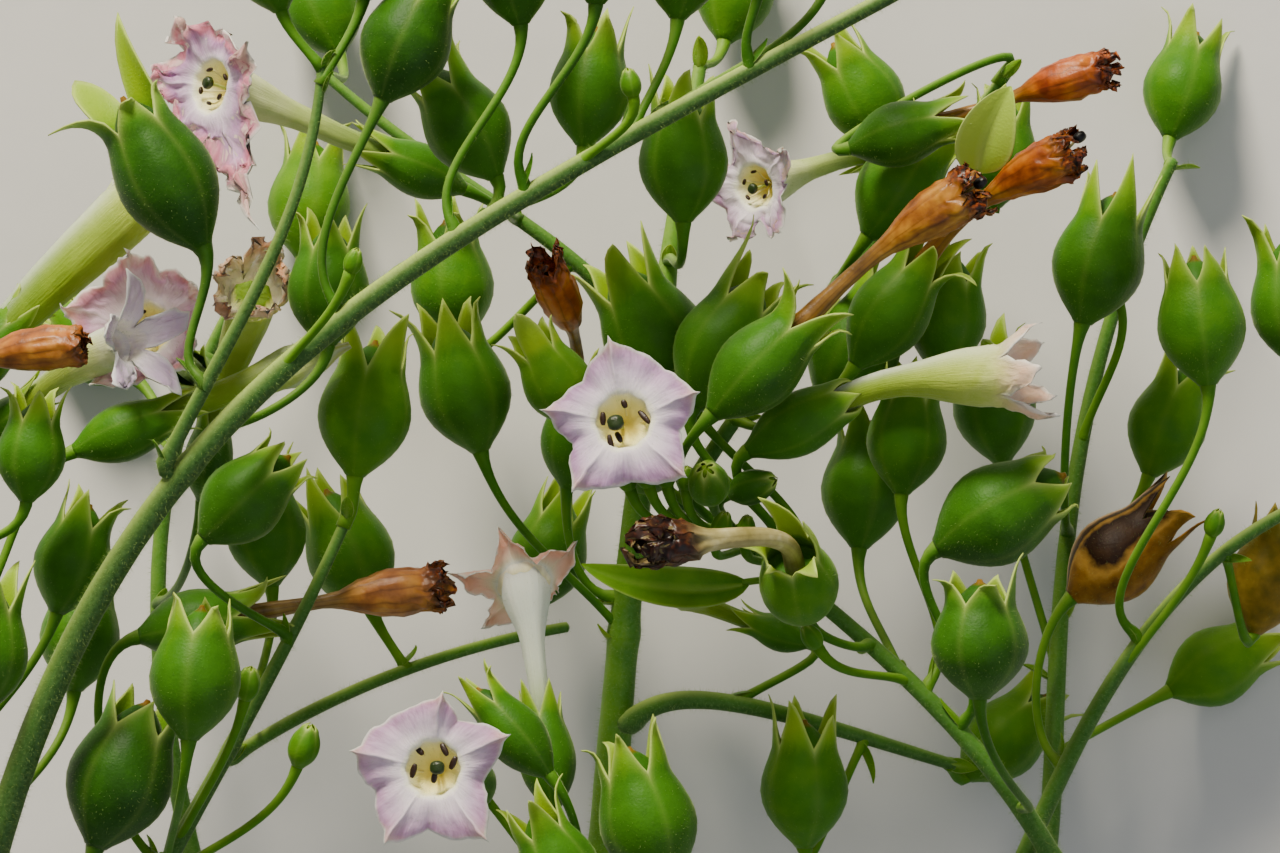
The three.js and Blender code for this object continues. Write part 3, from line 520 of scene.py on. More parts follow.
bloom("capsule_behind_tube", "top_right", 0.38, [30, 4, 40], [0.5, 0.86, 0], size=1.15, fused=True)
bloom("capsule_star", "top_right", 0.5, [49, 9, 36], [0.15, 0.98, 0.1], fused=True)
bloom("capsule_high", "top_right", 0.6, [37, 31, 52], [0.55, 0.83, 0], size=1.05)
bloom("capsule_high_left", "top_right", 0.75, [41, 46, 46], [-0.5, 0.86, 0.1])
bloom("capsule_high_right", "top_right", 0.9, [58, 36, 38], [0.1, 0.98, 0.1], size=0.95, fused=True)
bloom("withered_high", "top_right", 1, [34, 45, 64], [0.96, 0.28, 0.1], end=[76, 57.7, 70],
      turn=[0.98, 0.18, 0.05], size=0.95)
bloom("flower_far", "top_right", 0.85, [49, 46, 24], [-0.85, -0.1, 0.5], size=0.8, end=[18, 39, 50],
      turn=[-0.6, -0.1, 0.8])
bloom("capsule_tall_right", "right_middle", 0.6, [72.3, 16.9, 44], [0.25, 0.96, 0.05], roll=20,
      size=1.15, teeth=[[1.45, 0.6], [1.1, 1.1], [0.8, 1], [0.8, 1], [1.1, 0.9]])
bloom("capsule_hanging_right", "right_outer", 0.6, [92.3, 6.7, 56], [-0.11, 0.99, 0], size=1.1)
bloom("capsule_edge_right", "right_outer", 0.93, [108, 10, 42], [-0.1, 0.98, 0], size=1.1, fused=True)
bloom("capsule_edge_low", "right_outer", 0.8, [101, -34, 30], [0.25, 0.96, 0], fused=True)
bloom("capsule_dry", "right_outer", 0.35, [71, -28, 33], [0.75, 0.66, 0.03], size=1.1)
bloom("capsule_right_back", "right_middle", 0.42, [60, -6, 19], [-0.15, 0.98, 0.1], size=1.05,
      fused=True)
bloom("capsule_right_inner", "cross_bough", 0.8, [27, -69, 36], [0, 0.98, 0.15], size=1.1, fused=True)
bloom("capsule_cross", "cross_bough", 1, [54, -58, 18], [0.7, 0.7, -0.1], fused=True)
bloom("bud_low", "cross_bough", 0.45, [28, -36, 26], [-0.8, 0.3, -0.35], kind="long_bud", size=0.65,
      fused=True)
bloom("capsule_centre_back", "centre_bough", 0.58, [36, -20, 34], [0.1, 0.98, -0.1], size=1.1,
      fused=True)
bloom("capsule_right_under", "right_middle", 0.5, [84, -8, 24], [0.35, 0.93, 0], fused=True)
bloom("capsule_floor_left", "left_back", 0.8, [-84, 8, 12], [-0.75, 0.65, -0.25], fused=True, rests=True)
bloom("capsule_floor_middle", "left_back", 1, [-56, 28, 12], [0.1, 0.95, -0.25], size=1.05, fused=True,
      rests=True)
bloom("capsule_floor_high", "top_left", 1, [-50, 62, 22], [-0.3, 0.85, -0.4], fused=True, rests=True)
bloom("capsule_floor_top", "stalk", 1, [14, 64, 12], [0.2, 0.9, -0.35], fused=True, rests=True)
bloom("capsule_floor_right", "right_middle", 1, [88, 48, 14], [0.25, 0.9, -0.3], fused=True, rests=True)
bloom("capsule_floor_low", "right_middle", 0.3, [88, -44, 12], [0.85, 0.45, -0.2], fused=True,
      rests=True)

# Other teeth that stand out: the way each points from the axis, its rise, its reach and its width
TEETH = {
    "capsule_behind_tube": [([1, -0.3, 0.2], 1.0, 1.9, 1.0)],
    "capsule_beside_flower": [([0, 0, 1], 1.45, 1.2, 2.2)],
    "capsule_front_left": [([0.5, 0.3, -0.8], 1.95, 1.0, 1.45), ([-0.6, 0.3, -0.7], 1.25, 2.0, 1.25),
                           ([-0.9, -0.4, 0.3], 0.6, 1.75, 1.0)],
    "withered_bent": [([-0.6, 0.8, -0.4], 1.2, 1.3, 1.2), ([0.5, 0.8, -0.4], 1.25, 1.2, 1.2),
                      ([0, -1, 0.3], 0.35, 0.6, 1.0)],
    "withered_long": [([-0.5, 0.5, 0.6], 0.7, 1.7, 0.9), ([0.6, -0.5, 0.6], 1.1, 1.1, 0.9)],
    "capsule_middle_left": [([0.8, 0, 0.5], 1.2, 1.5, 1.0)],
}
# Calyxes limier than the rest, partly riper and partly painted light where they were well lit
LIMY = {"capsule_beside_flower": 0.5, "capsule_front_left": 0.1, "withered_bent": 0.45}
# Calyxes lighter or darker than those round them, and one that is turning ochre
SHADES = {"capsule_front_left": -0.19, "capsule_notched": -0.13, "capsule_corner": -0.16,
          "capsule_leaning_right": -0.1, "capsule_middle_left": 0.14, "capsule_above_fork": -0.05,
          "bud_round": 0.15}
OCHRE = {"capsule_edge_low": 0.75}
# How pointed some teeth are (below 1 they are blunt), and how long as a share of the others
BLUNT = {"capsule_front_left": 0.9, "capsule_beside_flower": 1.1, "capsule_notched": 0.95}
SHORT = {"capsule_leaning_right": 0.55, "capsule_corner": 0.75, "capsule_beside_corner": 0.7,
         "capsule_hanging_right": 0.75, "capsule_under_bough": 0.7, "capsule_twig_left": 0.7,
         "flower_side_view": 0.45}


def with_line(spec):
    """Adds the centre line of a pedicel and what it bears, and the run at which the calyx begins."""
    stem, base, way = stems[spec["on"]], spec["base"], spec["aim"]
    foot, out = leaving(stem, spec["at"], base, 0.0, spec.get("fused", False))
    slack = np.linalg.norm(foot - base) / 3
    mouth = base + way * MOUTH * spec["size"]
    if "end" in spec:
        tip, turn = np.array(spec["end"], float), unit(np.array(spec["turn"], float))
    else:
        tip, turn = base + way * (LENGTHS[spec["kind"]] * spec["size"] + 1), way
    pull = np.linalg.norm(tip - mouth) / 3
    pedicel = [foot, foot + out * slack, base - way * slack, base]
    curves = [pedicel, [base, base + (mouth - base) / 3, mouth - (mouth - base) / 3, mouth]]
    curves.append([mouth, mouth + way * pull, tip - turn * pull, tip])
    if not spec.get("fused"):
        curves.insert(0, rooted(stem, spec["at"], foot, out))
    line = framed(traced(curves), spec["roll"])
    return {**spec, "line": line, "begin": line["run"][CURVE_STEPS * (len(curves) - 2)]}


def placing(spec):
    """Turns a length in an average flower, from the calyx's foot, into a run along this one."""
    size, begin = spec["size"], spec["begin"]
    rest = LENGTHS[spec["kind"]] - MOUTH
    stretch = (spec["line"]["run"][-1] - begin - MOUTH * size) / rest if "end" in spec else size
    return lambda s: begin + np.minimum(s, MOUTH) * size + np.maximum(0, s - MOUTH) * stretch


def rounded(knots, at, blur=0.9):
    """A radius read off (length, radius) pairs, with the corners between them rounded."""
    lengths, radii = np.transpose(knots)
    return np.mean([np.interp(at + d, lengths, radii) for d in np.linspace(-blur, blur, 7)], axis=0)


FIFTH = np.radians(72)


def toothed(line, place, size, outline, sinus, teeth, inner, cols=10, rows=(9, 11), power=1.15,
            thin=0.35, keel=0.2, margin=5.0):
    """A tube with five teeth, with its inner wall: rows of points and where each lies on it.

    `outline` gives the radius by length up to the notches at `sinus`. Each tooth has a middle line
    forth and out of the notch, a sideways turn in degrees, and a width. `inner` gives the last
    inside rows. Of each point is told its length along, how far it lies up a tooth, how near the
    rim, whether it is outside (0), inside (1) or in the bottom (2), and where it is across a lobe.
    """
    half = np.arange(cols) / cols * 2 - 1
    phi = np.tile(np.sign(half) * np.abs(half) ** 1.25, 5)
    tooth = np.repeat(np.arange(5), cols)
    spans = [np.concatenate([[0], np.cumsum(np.hypot(*np.diff(path)))]) for path in teeth["paths"]]
    reach = np.array([span[-1] for span in spans])
    edge = reach[tooth] * (1 - np.abs(phi)) ** power
    low = outline[0][0]
    lower = low + (sinus - margin - low) * np.linspace(0, 1, rows[0] + 1)[:-1] ** 1.35
    share = np.linspace(0, 1, rows[1] + 1)
    arc = share[:, None] * (margin + edge)
    below, beyond = np.minimum(arc, margin), np.maximum(0, arc - margin)
    forth, out, tilt = np.zeros(arc.shape), np.zeros(arc.shape), np.zeros(arc.shape)
    for k, (path, span) in enumerate(zip(teeth["paths"], spans)):
        mine = tooth == k
        at = beyond[:, mine]
        forth[:, mine] = np.interp(at, span, path[0])
        out[:, mine] = np.interp(at, span, path[1])
        slope = np.arctan2(np.gradient(path[1]), np.gradient(path[0]))
        tilt[:, mine] = np.where(at > 0, np.interp(at, span, slope), 0)
    lift = beyond / reach[tooth]
    length = np.concatenate([np.repeat(lower[:, None], 5 * cols, 1), sinus - margin + below + forth])
    radius = rounded(outline, np.minimum(length, sinus))
    radius[rows[0] :] += out
    pad = np.zeros((rows[0], 5 * cols))
    lift, tilt, arc = (np.concatenate([pad, value]) for value in (lift, tilt, arc))
    raised = held((length - low) / (sinus - low)) ** 1.5
    radius += keel * (0.5 - np.abs(phi)) * raised
    wide = FIFTH / 2 * (1 + (teeth["width"][tooth] - 1) * lift)
    angle = FIFTH * tooth + wide * phi + np.radians(teeth["side"][tooth]) * lift**2
    rim = np.exp(-(margin + edge - arc) / 0.8) * (arc > 0)
    thick = thin * (1 - 0.6 * lift)
    back = slice(None, rows[0] - 1, -1)
    inner_length = (length + thick * np.sin(tilt))[back]
    inner_radius = np.maximum(0.2, (radius - thick * np.cos(tilt))[back])
    tail = np.array(inner)
    flat = np.ones(5 * cols)
    lengths = np.concatenate([length, inner_length, tail[:, :1] * flat])
    radii = np.concatenate([radius, inner_radius, tail[:, 1:] * flat]) * size
    plain = np.zeros((len(tail), 5 * cols))
    where = {
        "length": lengths,
        "lift": np.concatenate([lift, lift[back], plain]),
        "rim": np.concatenate([rim, rim[back], plain]),
        "inside": np.concatenate([0 * lift, np.ones_like(inner_length), plain + 2]),
        "phi": np.broadcast_to(phi, lengths.shape),
        "angle": np.concatenate([angle, angle[back], np.repeat(angle[:1], len(tail), 0)]),
    }
    return wrapped(line, place(lengths), radii, where["angle"]), where


TOOTH_STEPS = 24


def leaning(length, lean, curl):
    """A tooth's middle line, forth and out: it leans, and curls by so many degrees to its tip."""
    share = np.linspace(0, 1, TOOTH_STEPS + 1)
    slope = np.radians(lean + curl * share**1.4)[:-1]
    steps = np.stack([np.cos(slope), np.sin(slope)]) * length / TOOTH_STEPS
    return np.concatenate([np.zeros((2, 1)), np.cumsum(steps, axis=1)], axis=1)


def reaching(rise, reach, neck, hook):
    """A tooth's middle line to a tip given as shares of the average, hooked outwards at its end."""
    share = np.linspace(0, 1, TOOTH_STEPS + 1)
    tip = np.array([[TOOTH * rise + 0.5], [SPLAY * reach - neck]])
    bend = np.array([[TOOTH * (0.3 + 0.25 * rise)], [0.1 * tip[1, 0]]])
    path = 2 * share * (1 - share) * bend + share**2 * tip
    return path + share**5 * np.array([[-0.3 * hook], [hook]])


def uneven_teeth(rng, length, lean, curl, side):
    """Five teeth that differ a little; each range is its lowest and highest value."""
    rows = zip(length * rng.uniform(0.82, 1.2, 5), rng.uniform(*lean, 5), rng.uniform(*curl, 5))
    paths = [leaning(*row) for row in rows]
    return {"paths": paths, "side": rng.uniform(-side, side, 5), "width": np.ones(5)}


def sepal_teeth(rng, run, spec, neck):
    """The five teeth of a calyx; those that stand out are found by the way each points."""
    open_flower = spec["kind"] in ("flower", "wilting", "long_bud")
    rise, reach = rng.uniform(0.75, 1.2, 5), rng.uniform(0.7, 1.25, 5)
    if open_flower:
        rise, reach = rng.uniform(0.7, 1.15, 5), rng.uniform(0.62, 0.85, 5)
    if "teeth" in spec:
        rise, reach = np.array(spec["teeth"], float).T
    run, angle = np.full(5, run), FIFTH * np.arange(5)
    ways = wrapped(spec["line"], run, np.ones(5), angle) - wrapped(spec["line"], run, np.zeros(5), angle)
    width = rng.uniform(0.9, 1.15, 5)
    for way, *wanted in TEETH.get(spec["name"], []):
        k = int(np.argmax(ways @ np.array(way, float)))
        rise[k], reach[k], width[k] = wanted
    rise, reach = np.array([rise, reach]) * SHORT.get(spec["name"], 1.0)
    hooks = rng.uniform(0.0, 2.4, 5) * (0.4 if open_flower else 1.0)
    paths = [reaching(*row, neck, hook) for row, hook in zip(np.stack([rise, reach], 1), hooks)]
    return {"paths": paths, "side": rng.uniform(-13, 13, 5), "width": width}


def calyx_outline(kind):
    """Radii of a calyx by length: drawn to its foot, widest at mid-height, drawn in at the mouth."""
    wide = GIRTHS[kind]
    neck = {"capsule": 4.7, "withered": 3.9}.get(kind, 3.3)
    if kind == "bud":
        return [(0, 1.1), (0.6, 1.9), (1.6, 2.7), (3, 3.3), (4.8, 3.45), (6.6, 3.1), (8, 2.35), (9, 1.7)]
    return [(0, 1.1), (0.5, 0.26 * wide), (1.4, 0.42 * wide), (3, 0.65 * wide), (5.2, 0.88 * wide),
            (7.6, wide), (9.6, wide), (11.6, 0.92 * wide), (13.6, 0.4 * wide + 0.58 * neck), (15, neck),
            (17, neck)]


PEDICEL_MM, PEDICEL_COLS = 0.72, 12


def pedicel_skin(spec, tone):
    """The thin stalk of a flower: flared at its foot and where the calyx sits on it."""
    line, begin, size = spec["line"], spec["begin"], spec["size"]
    start = 0.0 if spec.get("fused") else line["run"][CURVE_STEPS]
    rows = np.linspace(0, begin + 1.2 * size, max(8, int(begin / 1.4)))
    radius = PEDICEL_MM + 0.5 * np.exp(-np.maximum(0, rows - start) / 1.6)
    radius = radius + (1.2 * size - 0.6) * np.exp(-np.maximum(0, begin - rows) / 2.6)
    run, angle = np.broadcast_arrays(rows[:, None], round_angles(PEDICEL_COLS))
    ribs = 0.5 + 0.5 * np.cos(3 * angle)
    # Painted light: the pedicel's side towards the light is painted lighter and paler, its other side
    # darker
    sunny = sunny_side(line, run, angle)
    grid = wrapped(line, run, radius[:, None] * (0.96 + 0.05 * ribs), angle)
    return closed_skin(grid, tone=tone + 0.1 + 0.12 * sunny, pale=0.3 * held(sunny) ** 2, dry=0.0, cut=0.0)


def calyx_skin(spec, rng, tone):
    """A calyx with its teeth and, for a capsule, the capsule's dome inside it."""
    name, kind, line, place = spec["name"], spec["kind"], spec["line"], placing(spec)
    girth = spec["size"] * spec.get("girth", 1.0)
    outline = calyx_outline(kind)
    cols, rows = FAR_GRID if spec.get("fused") else NEAR_GRID
    if kind == "bud":
        teeth = uneven_teeth(rng, 2.1, (-62, -50), (-10, 5), 8)
        inner = [(8.2, 1.3), (9.0, 1.0), (9.3, 0.5)]
        grid, where = toothed(line, place, girth, outline, 9.0, teeth, inner, cols, rows,
                              power=1.2, thin=0.25, keel=0.3, margin=3.5)
    else:
        teeth = sepal_teeth(rng, place(MOUTH), spec, outline[-1][1])
        if kind == "capsule":
            inner = [(11.5, 4.9), (13, 4.4), (15, 3.7), (16.8, 2.6), (18.2, 1.3), (18.8, 0.5), (19.3, 0.3)]
        else:
            inner = [(12, 2.6), (11.5, 1.2)]
        grid, where = toothed(line, place, girth, outline, 15.5, teeth, inner, cols, rows,
                              power=BLUNT.get(name, 1.15))
    length, lift, inside, phi, angle = (where[key] for key in ("length", "lift", "inside", "phi", "angle"))
    seams = np.exp(-(((1 - np.abs(phi)) / 0.12) ** 2))
    up = np.clip(length / MOUTH, 0, 1.3)
    limier = LIMY.get(name, 0.0)
    limy = 0.34 + 0.25 * rng.uniform() + limier
    # Painted light: the inner faces of the open teeth are painted lighter, as light through them. Painted
    # shade: a capsule's dome inside the mouth is painted darker; a bud's closed tip is painted lighter
    shade = tone + 0.16 * held(up - 0.5) + limy * lift**0.6 + 0.3 * (inside == 1) * (lift > 0)
    shade = shade + (0.3 if kind == "bud" else -0.12) * (inside == 2) + limier * 0.3
    # Painted light: the outside is painted lighter on the side towards the light and darker on the other
    shade = shade + 0.08 * sunny_side(line, place(length), angle) * (inside == 0)
    pale = 0.75 * where["rim"] * (inside < 2) + 0.06 * seams * (inside == 0) * (1 - lift)
    pale = np.clip(pale + 0.3 * limier * lift, 0, 0.85)
    dry = np.maximum((length > 18.5) * (inside == 2) * 0.8, OCHRE.get(name, 0.0))
    if name == "capsule_dry":
        turned = angle + np.radians(spec["roll"])
        around, top = np.cos(turned - np.radians(65)), np.cos(turned + np.radians(5))
        opened = held(4 * (around - 0.72)) * held(length / 4 - 0.8)
        dry = 1.0 + np.maximum(0.42 * opened, 0.8 * held(4 * (top - 0.72)))
    return closed_skin(grid, tone=shade, pale=pale, dry=dry, cut=0.0)


def calyx_tone(spec, rng):
    """Near the front of the panicle the greens are deep; behind, more light comes through them."""
    high = held(spec["base"][2] / 100)
    return 0.5 - 0.19 * high + rng.uniform(-0.05, 0.08) + SHADES.get(spec["name"], 0.0)


for name, spec in BLOOMS.items():
    BLOOMS[name] = with_line(spec)
    if spec.get("rests"):
        # It lies on the floor: it is set down until its lowest point touches that
        lowest = calyx_skin(BLOOMS[name], dice("calyx", spec["number"]), 0.5)["at"][:, 2].min()
        BLOOMS[name] = with_line({**spec, "base": spec["base"] - [0, 0, lowest]})

calyx_green = painted("green calyx", green_paint, 0.45, 0.3, 0.08)
fused_skins = {name: [] for name in STEMS}
for name, spec in BLOOMS.items():
    tone = calyx_tone(spec, dice("tone", spec["number"]))
    skins = [calyx_skin(spec, dice("calyx", spec["number"]), tone), pedicel_skin(spec, tone)]
    if spec.get("fused"):
        fused_skins[spec["on"]] += skins
    else:
        add_skins(f"{name}_calyx", skins, calyx_green, [name])
for name, skins in fused_skins.items():
    if skins:
        add_skins(f"{name}_calyxes", skins, calyx_green, [name])


# Open flowers
# A corolla is one thin sheet: a greenish tube that widens into a yellow throat, and a pink limb of
# five joined lobes, pleated along the middle of each, with a small point at each lobe's end.
PETAL_MM, LIMB_COLS, LIMB_ROWS = 0.28, 10, 14
# How far along the limb begins, and in an average flower how far out throat, tips and notches are;
# the whole limb is drawn a little smaller
LIMB_AT, THROAT, LIMB_TIP, LIMB_NOTCH, LIMB_SCALE = 46.6, 4.8, 13.0, 10.0, 0.965
# Radii by length from the calyx's foot: of the tube outside, and of the throat inside, inwards
TUBE = [(11, 1.7), (14, 1.85), (17, 1.9), (20, 1.9), (24, 1.95), (28, 2.1), (31, 2.3), (34, 2.7),
        (36.5, 3.3), (39, 4.0), (41, 4.5), (43, 4.8), (45, 4.9), (46.3, 4.95)]
GULLET = [(46.8, 4.65), (46.2, 4.45), (45.4, 4.25), (44.6, 4.0), (43.9, 3.6), (43.3, 3.1), (42.8, 2.4),
          (42.4, 1.7), (42.1, 0.9)]

# The points and the notches of the nearest limbs: degrees round from the first lobe's middle, and
# millimetres from the axis
LIMBS = {
    "flower_facing": ([(4, 13.3), (77, 12.6), (140, 14.2), (220, 14.3), (281, 13.0)],
                      [(36, 9.9), (105, 9.5), (180, 10.1), (255, 9.5), (322, 11.2)]),
    "flower_low_facing": ([(-7, 12.2), (78, 13.3), (149, 14.2), (218, 14.8), (294, 13.5)],
                          [(46, 11.5), (110, 10.8), (175, 10.2), (258, 8.3), (335, 9.1)]),
    "flower_from_behind": ([(37, 10.2), (100, 6.5), (191, 11.8), (252, 11.8), (315, 10.4)],
                           [(70, 5.4), (140, 5.6), (222, 5.8), (284, 6.2), (352, 5.6)]),
    "flower_pink_high": ([(11, 10.8), (66, 15.0), (120, 12.5), (196, 29.0), (271, 12.8)],
                         [(38, 9.8), (92, 10.2), (155, 11.5), (236, 11.5), (320, 9.5)]),
}
# How wide a tube is; how much whiter it grows towards the limb, partly its own colour and partly
# painted light; how much pinker a limb is, how limp it is, how far it is cupped forwards and how
# much it has turned to peach
TUBES = {"flower_from_behind": 0.82}
TUBE_WHITE_AND_LIT = {"flower_from_behind": 0.95}
FLUSH = {"flower_pink_high": 0.36, "flower_pink_left": 0.12}
LIMP = {"flower_pink_high": 2.2, "flower_pink_left": 0.9, "flower_from_behind": 0.7, "flower_far": 1.6}
CUP = {"flower_pink_left": 5.5, "flower_pink_high": 1.5, "flower_far": 2.0}
PEACH = {"flower_from_behind": 0.9, "flower_pink_left": 0.25, "flower_pink_high": 0.1,
         "flower_facing": 0.05, "flower_low_facing": 0.12, "flower_far": 0.1}


def crumple(at, size, depth, rng):
    """A smooth uneven shift of points, with folds about `size` across and `depth` deep."""
    shift = np.zeros(at.shape)
    for octave in range(3):
        for k in range(3):
            ways = unit(rng.normal(size=(3, 3))) * 2 * np.pi / (size * 0.6**octave)
            phase = rng.uniform(0, 2 * np.pi, 3)
            shift[..., k] += 0.6**octave * np.sin(at @ ways.T + phase).prod(-1)
    return shift * depth


def limb_edge(spec, rng, cols):
    """The limb's outline: for each column its angle, its radius and where it lies across a lobe."""
    if spec["name"] in LIMBS:
        points, notches = LIMBS[spec["name"]]
    else:
        points = [(72 * k + rng.uniform(-6, 6), LIMB_TIP * rng.uniform(0.94, 1.04)) for k in range(5)]
        notches = [(72 * k + 36 + rng.uniform(-5, 5), LIMB_NOTCH * rng.uniform(0.92, 1.05))
                   for k in range(5)]
    corners = [corner for pair in zip(points, notches) for corner in pair]
    corners.append((points[0][0] + 360, points[0][1]))
    angle, radius, phi = [], [], []
    step = np.arange(cols) / cols
    for number in range(10):
        (a, r), (b, s) = corners[number], corners[number + 1]
        a, b = np.radians(a), np.radians(b)
        from_tip = step if number % 2 == 0 else 1 - step
        shares = step**1.2 if number % 2 == 0 else 1 - (1 - step) ** 1.2
        x = r * np.cos(a) * (1 - shares) + s * np.cos(b) * shares
        y = r * np.sin(a) * (1 - shares) + s * np.sin(b) * shares
        swell = 0.7 * np.sin(np.pi * from_tip**1.3) + 0.8 * (1 - from_tip) ** 12
        angle.append(np.unwrap(np.concatenate([[a], np.arctan2(y, x)]))[1:])
        radius.append(np.hypot(x, y) + swell)
        phi.append(from_tip if number % 2 == 0 else -from_tip)
    return np.unwrap(np.concatenate(angle)), np.concatenate(radius), np.concatenate(phi)


def corolla_skins(spec, rng):
    """An open corolla: outside of the tube, back of the limb, face of the limb, inside of the throat."""
    name, line, size, place = spec["name"], spec["line"], spec["size"], placing(spec)
    angle, edge, phi = limb_edge(spec, rng, LIMB_COLS)
    edge = LIMB_SCALE * edge
    cols = len(angle)
    across = np.abs(phi)
    tube, inside = np.array(TUBE), np.array(GULLET)
    tube[:, 1] = tube[:, 1] * TUBES.get(name, 1.0)
    share = np.linspace(0, 1, LIMB_ROWS + 1)[1:, None]
    radius = THROAT + 0.2 + (edge - THROAT - 0.2) * share
    ridge, valley = np.exp(-across / 0.3), np.exp(-(((1 - across) / 0.16) ** 2))
    waves = rng.uniform(0, 6, 3)
    # The limb rises along the middle of each lobe, sinks at the notches and is finely waved
    height = 1.5 * share**0.7 + 3.3 * share**0.9 * (ridge - 0.35) - 2.0 * share**1.3 * valley
    waving = np.sin(13 * angle + waves[0]) + 0.8 * np.sin(31 * angle + waves[1])
    height = height + 0.2 * share**1.5 * waving
    height = height - 1.1 * share**5 * np.sin(np.pi * across) + CUP.get(name, 0.0) * share**1.6
    height = height - 0.9 * share**9 * (1 - across) ** 6
    run_limb = place(LIMB_AT) + height * size
    run_tube = np.repeat(place(tube[:, :1]), cols, 1)
    radius_tube = np.repeat(tube[:, 1:], cols, 1) * (1 + 0.035 * np.cos(5 * angle))
    up = PETAL_MM * (1 - 0.5 * share)
    grooves = 1 - 0.05 * (0.5 + 0.5 * np.cos(10 * angle))
    run_in = np.repeat(place(inside[:, :1]), cols, 1)
    radius_in = np.repeat(inside[:, 1:], cols, 1) * grooves
    run = np.concatenate([run_tube, run_limb, (run_limb + up * size)[::-1], run_in])
    radius = np.concatenate([radius_tube, radius, (radius - 0.05)[::-1], radius_in]) * size
    grid = wrapped(line, run, radius, np.broadcast_to(angle, run.shape))
    spread = np.concatenate([np.zeros((len(tube), 1)), share, share[::-1], np.zeros((len(inside), 1))])
    grid = grid + (0.08 + spread)[..., None] * crumple(grid, 9.0, LIMP.get(name, 0.35), rng)
    # Where each row lies, for its colour: up the tube, across the limb, down the throat
    outside = np.zeros((len(run), 1))
    outside[: len(tube) + len(share)] = 1
    face = 0.42 + 0.5 * share**1.3 + 0.1 * share**3 * (1 - across) ** 3
    face = face + FLUSH.get(name, 0.0) * share**0.5
    throat = np.linspace(0.36, 0.0, len(inside))[:, None] * np.ones(cols)
    stem_green = np.interp(tube[:, :1], [14, 24, 34, 46], [0.0, 0.25, 0.45, 0.6]) * np.ones(cols)
    back = 0.62 + 0.38 * share * np.ones(cols)
    zone = np.concatenate([stem_green, back, face[::-1], throat])
    # Painted highlight: the middle of each lobe towards its end, and the very edge of the limb, are painted
    # whiter
    light = 0.25 * (1 - across) ** 8 * share + 0.8 * share**24
    # Partly painted light: the tube is painted whiter towards the limb, most where it was lit
    white = TUBE_WHITE_AND_LIT.get(name, 0.15) * np.interp(tube[:, :1], [12, 26, 46], [0.1, 0.8, 1])
    fold = np.concatenate([white * np.ones(cols), light, light[::-1], 0 * throat])
    warm = held(PEACH.get(name, 0.0) * share**0.3 + 0.85 * share**4 * (1 - across) ** 5)
    peach = np.concatenate([np.zeros(stem_green.shape), warm, warm[::-1], 0 * throat])
    out = (THROAT + (edge - THROAT) * share) / 5
    reach = np.concatenate([radius_tube / 5, out, out[::-1], radius_in / 5])
    return [closed_skin(grid, zone=zone, outside=outside, fold=fold, around_x=np.cos(angle),
                        around_y=np.sin(angle), reach=reach, peach=peach)]


def petal_paint(tree):
    """Thin petal: white round the throat, lilac pink to the edge, fine veins that run outwards."""
    spokes = add_node(tree, "ShaderNodeCombineXYZ", {
        0: maths(tree, "MULTIPLY", "around_x", 7.0),
        1: maths(tree, "MULTIPLY", "around_y", 7.0),
        2: maths(tree, "MULTIPLY", "reach", 0.8),
    }).outputs["Vector"]
    inputs = {"Vector": spokes, "Scale": 2.2, "Detail": 3.0, "Roughness": 0.6}
    veins = add_node(tree, "ShaderNodeTexNoise", inputs).outputs["Fac"]
    blotches = noise(tree, 2.381)
    wander = maths(tree, "MULTIPLY_ADD", blotches, 0.14, -0.07)
    place = maths(tree, "ADD", "zone", wander, use_clamp=True)
    face = ramp(tree, place, [(0.0, "#ecd860"), (0.1, "#f8ec94"), (0.25, "#fff9c4"), (0.37, "#fffce4"),
                              (0.43, "#ece0ea"), (0.6, "#d0bad6"), (0.85, "#b88cc0"), (1.0, "#cf8098")])
    back = ramp(tree, place, [(0.0, "#567e0a"), (0.18, "#86a41e"), (0.38, "#acc04c"), (0.52, "#cdd68c"),
                              (0.66, "#e6e6cc"), (0.82, "#e2bcbc"), (1.0, "#d49a98")])
    base = mixed(tree, "outside", face, back)
    lines = ramp(tree, veins, [(0.36, "#a884ac"), (0.56, "#ffffff")])
    strength = maths(tree, "MULTIPLY", maths(tree, "SUBTRACT", "zone", 0.36, use_clamp=True), 0.9)
    back_share = maths(tree, "MULTIPLY_ADD", "outside", -0.6, 1.0)
    strength = maths(tree, "MULTIPLY", strength, back_share)
    base = mixed(tree, strength, base, lines, "MULTIPLY")
    warm = ramp(tree, place, [(0.3, "#c8c468"), (0.55, "#ecc2a0"), (0.8, "#eaaa88"), (1.0, "#dc8a6c")])
    base = mixed(tree, maths(tree, "MINIMUM", "peach", 1.0), base, warm)
    # Pale parts and painted highlights are mixed towards white
    base = mixed(tree, "fold", base, "#eef4ea")
    brown = ramp(tree, blotches, [(0.35, "#7a4416"), (0.6, "#b0703a"), (0.8, "#d8a878")])
    base = mixed(tree, maths(tree, "SUBTRACT", "peach", 1.0, use_clamp=True), base, brown)
    relief = maths(tree, "ADD", veins, maths(tree, "MULTIPLY", noise(tree, 0.5556, 2.0), 0.4))
    sockets = {"Roughness": 0.55, "IOR": 1.4, "Specular IOR Level": 0.3}
    sockets.update({"Sheen Weight": 0.35, "Sheen Roughness": 0.3, "Sheen Tint": "#e6f2ee"})
    glow = {"Subsurface Weight": 0.4, "Subsurface Scale": 0.0012, "Subsurface Radius": (1.0, 0.9, 0.8)}
    surface(base, relief, 0.00015, **sockets, **glow)


def add_bloom_parts(kind, part, build, material):
    """For each bloom of a kind, adds one part of it as a piece; `build` gives the part's skins."""
    for name, spec in BLOOMS.items():
        if spec["kind"] == kind:
            skins = build(spec, dice(part, spec["number"]))
            node = spec["on"] if spec.get("fused") else name
            add_skins(f"{name}_{part}", skins, material, [node])


petal = painted("tobacco petal", petal_paint)
add_bloom_parts("flower", "corolla", corolla_skins, petal)


